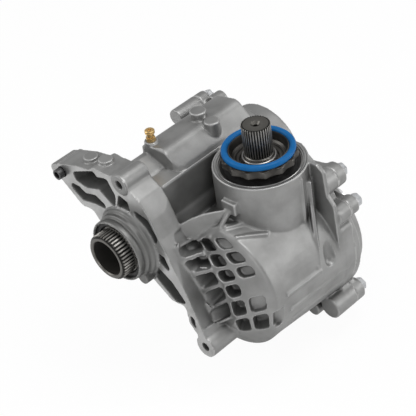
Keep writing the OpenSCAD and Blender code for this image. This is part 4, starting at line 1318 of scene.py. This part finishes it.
@dataclass
class Output:
    """Scalloped collar, blue ring, lock nut, and the neck's mouth with its seal."""

    shop: Workshop
    layout: Layout
    scallops: int = 14
    scallop_points: int = 12
    scallop_power: float = 0.7
    collar: float = 38.0 * MM
    collar_bore: float = 15.05 * MM
    hub: float = 26.0 * MM
    ring_radius: float = 33.0 * MM
    ring_half: float = 3.3 * MM
    ring_seam: float = 0.06 * MM
    ring_points: int = 24
    seam_point: int = 3
    # Heights: of the skirt over the mouth, of the seat under the top, of the floor under the seat
    skirt_rise: float = 4 * MM
    seat_drop: float = 1.0 * MM
    floor_drop: float = 11 * MM
    # How far the hub ends under the skirt, and the bore under the floor
    hub_drop: float = 1.5 * MM
    bore_drop: float = 1.0 * MM
    # Skirt from the collar's radius and foot: steps and depth of the scallops, in mm
    skirt: tuple[tuple[float, float, float], ...] = (
        (-4.5, -0.2, 0.0),
        (-1.2, 0.2, 2.2),
        (0.0, 1.2, 2.2),
        (0.0, 6.6, 2.2),
        (-0.8, 7.6, 1.76),
        (-2.2, 8.0, 0.3),
    )
    # Seat of the blue ring and rim of the bowl, from the ring's radius and the seat
    seat_steps: Steps = (
        (3.2, -1.6), (2.4, -2.6), (0.0, -3.4), (-2.4, -2.6), (-3.5, -0.2), (-3.6, 0.7),
        (-4.3, 0.9), (-5.0, -1.0),
    )
    # Bowl, from the ring's radius and the floor, and its bottom, from the axis and the floor
    bowl_steps: Steps = ((-6.2, 3.4), (-8.0, 1.6))
    bottom_steps: Steps = (
        (23.4, 1.2), (23.0, 0.4), (22.2, 0.4), (21.8, 0.9), (19.4, 0.5), (18.6, -1.0)
    )
    # Nut, from its outer radius or its bore, and its top
    nut_edge: Steps = ((0.0, -1.6), (-0.4, -0.7), (-1.2, -0.1), (-1.9, 0.0), (-2.4, -0.3))
    nut_bore: Steps = ((0.5, -0.5), (0.0, -1.0))
    nut_clearance: float = 0.2 * MM
    # Mouth of the neck, from its bore and its face
    mouth: Steps = (
        (0.1, -2.6), (0.1, -0.7), (0.5, -0.2), (1.2, -0.1), (1.5, -0.5), (1.6, -1.4),
        (2.0, -1.4), (2.2, -0.2), (2.6, 0.0),
    )
    mouth_depth: float = 2.6 * MM
    mouth_clearance: float = 0.05 * MM
    # Seal: the shell's edge from its outer radius and top, and the lip round its section, from
    # the hub and the base, the shell and the base, the shell and the top, the hub and the top
    shell: Steps = ((0.0, -0.5), (-0.3, 0.0), (-0.8, 0.0), (-1.1, -0.5))
    shell_width: float = 1.1 * MM
    lip_foot: Steps = ((0.15, 0.6),)
    lip_heel: Steps = ((-1.15, 0.1),)
    lip_face: Steps = ((-1.15, -1.6), (-3.5, -1.9), (-5.0, -3.0))
    lip_edge: Steps = ((3.0, -2.2), (0.15, -3.0))
    round_points: int = 128

    def build(self) -> None:
        """Builds the collar, the ring, the nut, the neck's face and its seal."""
        self.build_collar()
        self.build_ring()
        self.build_nut()
        self.build_mouth()
        self.build_seal()

    def scalloped(self, radius: float, z: float, depth: float = 0.0) -> list[Point]:
        """Loop of shallow hollows between blunt points.

        Args:
            radius: radius at the points.
            z: height of the loop.
            depth: depth of the hollows.

        Returns:
            The loop's points.
        """
        count = self.scallop_points * self.scallops
        points = []
        for k in range(count):
            angle = 2 * math.pi * k / count
            dip = math.sin(self.scallops * angle / 2) ** 2
            points.append(around(radius - depth * dip ** self.scallop_power, angle, z))
        return points

    def build_collar(self) -> None:
        """Collar as one loft: hub, scalloped skirt, seat of the blue ring and the bowl inside."""
        low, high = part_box("output_collar")
        base, seat = low[2], high[2] - self.seat_drop
        foot = self.layout.mouth_z + self.skirt_rise
        floor = seat - self.floor_drop
        hub = [(self.collar_bore, base), (self.hub, base), (self.hub, foot - self.hub_drop)]
        bowl = (
            stepped(self.ring_radius, seat, self.seat_steps)
            + stepped(self.ring_radius, floor, self.bowl_steps)
            + stepped(0.0, floor, self.bottom_steps)
            + [(self.collar_bore, floor - self.bore_drop)]
        )
        loops = [self.scalloped(*row) for row in hub]
        for out, up, depth in self.skirt:
            loops.append(self.scalloped(self.collar + out * MM, foot + up * MM, depth * MM))
        loops += [self.scalloped(*row) for row in bowl]
        shape = bmesh.new()
        loft(shape, self.layout.output_axis, loops, closed=True)
        self.shop.add("scalloped_collar", shape, Slot.DARK, "output_collar", sharp=26.0)

    def turned(
        self, name: str, profile: Profile, slot: Slot, replaced: str, sharp: float
    ) -> None:
        """Adds a piece turned about the output's axis.

        Args:
            name: name of the new piece.
            profile: radius and height of each point of its section.
            slot: its finish.
            replaced: the CAD node that it stands for.
            sharp: edges sharper than this many degrees stay crisp.
        """
        shape = bmesh.new()
        turn(shape, self.layout.output_axis, profile, self.round_points)
        self.shop.add(name, shape, slot, replaced, sharp)

    def build_nut(self) -> None:
        """Round lock nut with a bright rolled edge at the foot of the splines."""
        low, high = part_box("pinion_nut")
        outer, base, top = (high[0] - low[0]) / 2, low[2], high[2]
        bore = self.layout.output_splines.tip + self.nut_clearance
        profile = [(bore, base), (outer, base)]
        profile += stepped(outer, top, self.nut_edge) + stepped(bore, top, self.nut_bore)
        shape = bmesh.new()
        turn(shape, self.layout.output_axis, profile)
        self.shop.add("lock_nut", shape, Slot.POLISHED, "pinion_nut", sharp=40.0)

    def build_mouth(self) -> None:
        """Machined face round the neck's mouth, with a broken inner edge."""
        plan = self.layout
        outer = plan.mouth_seat - self.mouth_clearance
        profile = stepped(plan.mouth_r, plan.mouth_z, self.mouth)
        profile += [(outer, plan.mouth_z), (outer, plan.mouth_z - self.mouth_depth)]
        self.turned("mouth_face", profile, Slot.MACHINED, "main_housing", sharp=30.0)

    def build_seal(self) -> None:
        """Seal in the neck's mouth: bright pressed shell and black lip."""
        low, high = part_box("pinion_seal")
        outer, base, top = (high[0] - low[0]) / 2, low[2], high[2]
        shell = [(outer - self.shell_width, base), (outer, base)]
        shell += stepped(outer, top, self.shell)
        lip = stepped(self.hub, base, self.lip_foot) + stepped(outer, base, self.lip_heel)
        lip += stepped(outer, top, self.lip_face) + stepped(self.hub, top, self.lip_edge)
        for name, profile, slot in (
            ("neck_seal_shell", shell, Slot.POLISHED),
            ("neck_seal_lip", lip, Slot.SEAL),
        ):
            self.turned(name, profile, slot, "pinion_seal", sharp=40.0)

    def build_ring(self) -> None:
        """Blue ring with a faint mould seam."""
        low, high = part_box("blue_seal_ring")
        middle = (low[2] + high[2]) / 2
        profile = []
        for k in range(self.ring_points):
            reach = self.ring_half - (0.0 if k == self.seam_point else self.ring_seam)
            across, up, _ = around(reach, 2 * math.pi * k / self.ring_points, 0.0)
            profile.append((self.ring_radius + across, middle + up))
        self.turned("blue_ring", profile, Slot.BLUE, "blue_seal_ring", sharp=50.0)


# Loops of a bolt or of the breather, in mm: height, round limit and the hexagon's corner radius,
# which is left out where the loop is round
Loops = tuple[tuple[float, ...], ...]


@dataclass
class Hardware:
    """Cover bolts and breather."""

    shop: Workshop
    points: int = 48
    # A bolt, from its end, from the face under its head and from its top
    head: float = 8.0 * MM
    shank_end: Loops = ((0.0, 3.5, 4.0), (0.5, 4.0))
    flange: Loops = (
        (0.0, 4.0), (0.0, 8.2), (0.3, 8.4), (1.0, 8.3), (2.0, 7.3), (2.2, 7.2, 7.2)
    )
    crown: Loops = ((-0.8, 7.2, 7.2), (-0.3, 6.696, 7.2), (0.0, 5.796), (0.0, 4.2), (-0.9, 3.4))
    # The breather, from its end, from the face under its hexagon and from its top
    stem: float = 8 * MM
    stem_end: Loops = ((0.0, 2.85), (0.4, 3.15))
    body: Loops = (
        (0.0, 3.15), (0.0, 4.7, 5.0), (0.4, 5.0, 5.0), (3.5, 5.0, 5.0), (3.9, 4.5, 5.0),
        (4.1, 3.5), (7.6, 3.5), (8.1, 4.6), (8.6, 4.95), (9.4, 4.95), (9.7, 4.6), (10.0, 4.95),
    )
    cap: Loops = ((-0.6, 4.95), (0.0, 4.3), (0.0, 1.8), (-1.5, 1.4))

    def build(self) -> None:
        """Builds the bolts and the breather."""
        self.build_bolts()
        self.build_breather()

    def loop(self, z: float, limit: float, corner: float = math.inf) -> list[Point]:
        """Round loop, or a hexagon whose corners are rounded off.

        Args:
            z: height of the loop.
            limit: radius beyond which nothing stands out.
            corner: corner radius of the hexagon.

        Returns:
            The loop's points.
        """
        inscribed = corner * math.cos(math.pi / 6)
        made = []
        for k in range(self.points):
            angle = 2 * math.pi * k / self.points
            side = inscribed / math.cos(angle % (math.pi / 3) - math.pi / 6)
            made.append(around(min(side, limit), angle, z))
        return made

    def chain(self, start: float, rows: Loops) -> list[list[Point]]:
        """Loops of all the rows, at heights from start."""
        return [self.loop(start + height * MM, *mm(*sizes)) for height, *sizes in rows]

    def build_bolts(self) -> None:
        """Flange bolts with bevelled hexagon heads, at the CAD bolts' places."""
        shape = bmesh.new()
        for low, high in islands(self.shop.nodes["cover_bolts"]):
            middle = (low + high) / 2
            loops = self.chain(low[0], self.shank_end)
            loops += self.chain(high[0] - self.head, self.flange)
            loops += self.chain(high[0], self.crown)
            loft(shape, along_x(0.0, middle[1], middle[2]), loops)
        self.shop.add("flange_bolts", shape, Slot.FASTENER, "cover_bolts", sharp=28.0)

    def build_breather(self) -> None:
        """Brass breather: hexagon foot, waist and grooved cap."""
        low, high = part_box("breather_vent")
        loops = self.chain(low[2], self.stem_end)
        loops += self.chain(low[2] + self.stem, self.body)
        loops += self.chain(high[2], self.cap)
        shape = bmesh.new()
        axis = Matrix.Translation(((low[0] + high[0]) / 2, (low[1] + high[1]) / 2, 0.0))
        loft(shape, axis, loops)
        self.shop.add("brass_breather", shape, Slot.BRASS, "breather_vent", sharp=30.0)


@dataclass
class Studio:
    """Pale floor, soft lights and the camera at the photograph's viewing angle."""

    camera_at: Point = (-0.6929, -0.9216, 0.8839)
    right: Point = (0.6885, -0.715, -0.121)
    up: Point = (0.501, 0.348, 0.792)
    lens: float = 129.8
    sensor: float = 36.0
    far_clip: float = 20.0
    soft_light: float = 0.42
    white_light: float = 1.0
    # Name, place, size and watts
    lamps: tuple[tuple[str, Point, float, float], ...] = (
        ("key", (0.35, -0.35, 1.5), 0.8, 11.5),
        ("fill", (1.1, -1.1, 0.5), 0.9, 7.0),
        ("side", (-1.2, -0.7, 0.7), 0.6, 4.0),
        ("back", (-0.6, 0.9, 0.9), 0.8, 6.0),
    )
    aim: Point = (0.08, -0.03, 0.0)
    floor_gap: float = 0.5 * MM
    floor_size: float = 6.0
    floor_clouds: Noise = (6.0, 2.0)
    floor_tones: tuple[Colour, Colour] = ((0.86, 0.86, 0.86), (0.88, 0.88, 0.88))
    floor_glow: float = 0.95

    def build(self, lowest: float) -> None:
        """Makes the camera, world, lights and floor.

        Args:
            lowest: height of the part's lowest point.
        """
        self.build_camera()
        self.build_world()
        for lamp in self.lamps:
            self.build_lamp(*lamp)
        self.build_floor(lowest - self.floor_gap)
        bpy.context.scene.view_settings.view_transform = "Standard"

    def build_camera(self) -> None:
        """Camera that looks as the photograph does."""
        data = bpy.data.cameras.new("camera")
        data.lens = self.lens
        data.sensor_width = self.sensor
        data.clip_end = self.far_clip
        camera = link("camera", data)
        right, up = Vector(self.right).normalized(), Vector(self.up)
        back = right.cross(up).normalized()
        up = back.cross(right)
        turned = Matrix((right, up, back)).transposed().to_4x4()
        camera.matrix_world = Matrix.Translation(self.camera_at) @ turned
        bpy.context.scene.camera = camera

    def build_world(self) -> None:
        """Soft grey light all round that the camera sees as white."""
        world = bpy.data.worlds.new("studio")
        bpy.context.scene.world = world
        graph = Graph(world)
        soft, white = (
            graph.node("ShaderNodeBackground", {}, {"Color": WHITE, "Strength": strength})
            for strength in (self.soft_light, self.white_light)
        )
        surface = graph.blend(graph.camera_ray(), soft, white)
        graph.node("ShaderNodeOutputWorld", {}, {"Surface": surface})

    def build_lamp(self, name: str, at: Point, size: float, watts: float) -> None:
        """Square soft lamp aimed at the middle of the part.

        Args:
            name: its name.
            at: its place.
            size: length of its side.
            watts: its power.
        """
        data = bpy.data.lights.new(name, "AREA")
        data.size = size
        data.energy = watts
        lamp = link(name, data)
        lamp.location = at
        lamp.rotation_euler = (Vector(self.aim) - Vector(at)).to_track_quat("-Z", "Y").to_euler()

    def build_floor(self, level: float) -> None:
        """Plain pale floor that holds a soft shadow.

        Args:
            level: its height.
        """
        graph = Graph(bpy.data.materials.new("pale floor"))
        colour = graph.mix(graph.noise(*self.floor_clouds), *self.floor_tones)
        matt = graph.node("ShaderNodeBsdfDiffuse", {}, {"Color": colour})
        glow = graph.node("ShaderNodeEmission", {}, {"Color": WHITE, "Strength": 1.0})
        surface = graph.blend(graph.camera_ray() * self.floor_glow, matt, glow)
        graph.node("ShaderNodeOutputMaterial", {}, {"Surface": surface})
        shape = bmesh.new()
        bmesh.ops.create_grid(shape, x_segments=1, y_segments=1, size=self.floor_size)
        floor = link("floor", to_mesh("floor", shape))
        floor.location = (0.0, 0.0, level)
        floor.data.materials.append(graph.owner)
        floor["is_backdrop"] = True


PLAN = Layout()
INPUT, OUTPUT = PLAN.input_splines, PLAN.output_splines
FINISHES = {
    Slot.INPUT: SplinedSteel(
        "input shaft steel", Axis.X, (0.0, 0.0, 0.0), INPUT.root, INPUT.tip
    ),
    Slot.OUTPUT: SplinedSteel(
        "output shaft steel", Axis.Z, (PLAN.apex_x, PLAN.ring_y, 0.0), OUTPUT.root, OUTPUT.tip
    ),
    Slot.CAST: CastAluminium(),
    Slot.MACHINED: CutAluminium(),
    Slot.DARK: Steel("dark steel", (0.06, 0.057, 0.053), (0.17, 0.165, 0.155), 0.34),
    Slot.BEARING: Steel("bearing steel", (0.52, 0.52, 0.53), (0.68, 0.68, 0.68), 0.2),
    Slot.FASTENER: Steel("plated steel", (0.50, 0.51, 0.52), (0.74, 0.74, 0.75), 0.3),
    Slot.BLACK: Steel("blackened steel", (0.035, 0.035, 0.036), (0.12, 0.12, 0.12), 0.42),
    Slot.SEAL: Rubber("black rubber", (0.022, 0.022, 0.022), (0.06, 0.06, 0.06)),
    Slot.BLUE: Rubber("blue rubber", (0.001, 0.105, 0.31), (0.004, 0.14, 0.38), 0.36, 0.2),
    Slot.BRASS: Brass(),
    Slot.POLISHED: Steel(
        "polished steel", (0.27, 0.26, 0.25), (0.60, 0.59, 0.58), 0.26, 0.95, 900.0
    ),
}
OWN_FINISH = {"pinion_shaft": Slot.OUTPUT}


def main() -> None:
    """Builds the scene round the frame."""
    logging.basicConfig(level=logging.INFO, format="%(message)s")
    for left_over in list(bpy.data.objects):
        bpy.data.objects.remove(left_over)
    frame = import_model()
    cad_box = [list(corner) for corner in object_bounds()]
    shop = Workshop(frame)
    Studio().build(cad_box[0][2])
    Housing(shop, PLAN, "main_housing", "housing_casting").build()
    Cover(shop, PLAN, "side_cover", "cover_casting").build()
    InputShaft(shop, PLAN).build()
    Output(shop, PLAN).build()
    Hardware(shop).build()
    for node, kept in shop.nodes.items():
        if not kept.hide_render:
            shop.paint(node)
    LOG.info("sizes written")


if __name__ == "__main__":
    main()
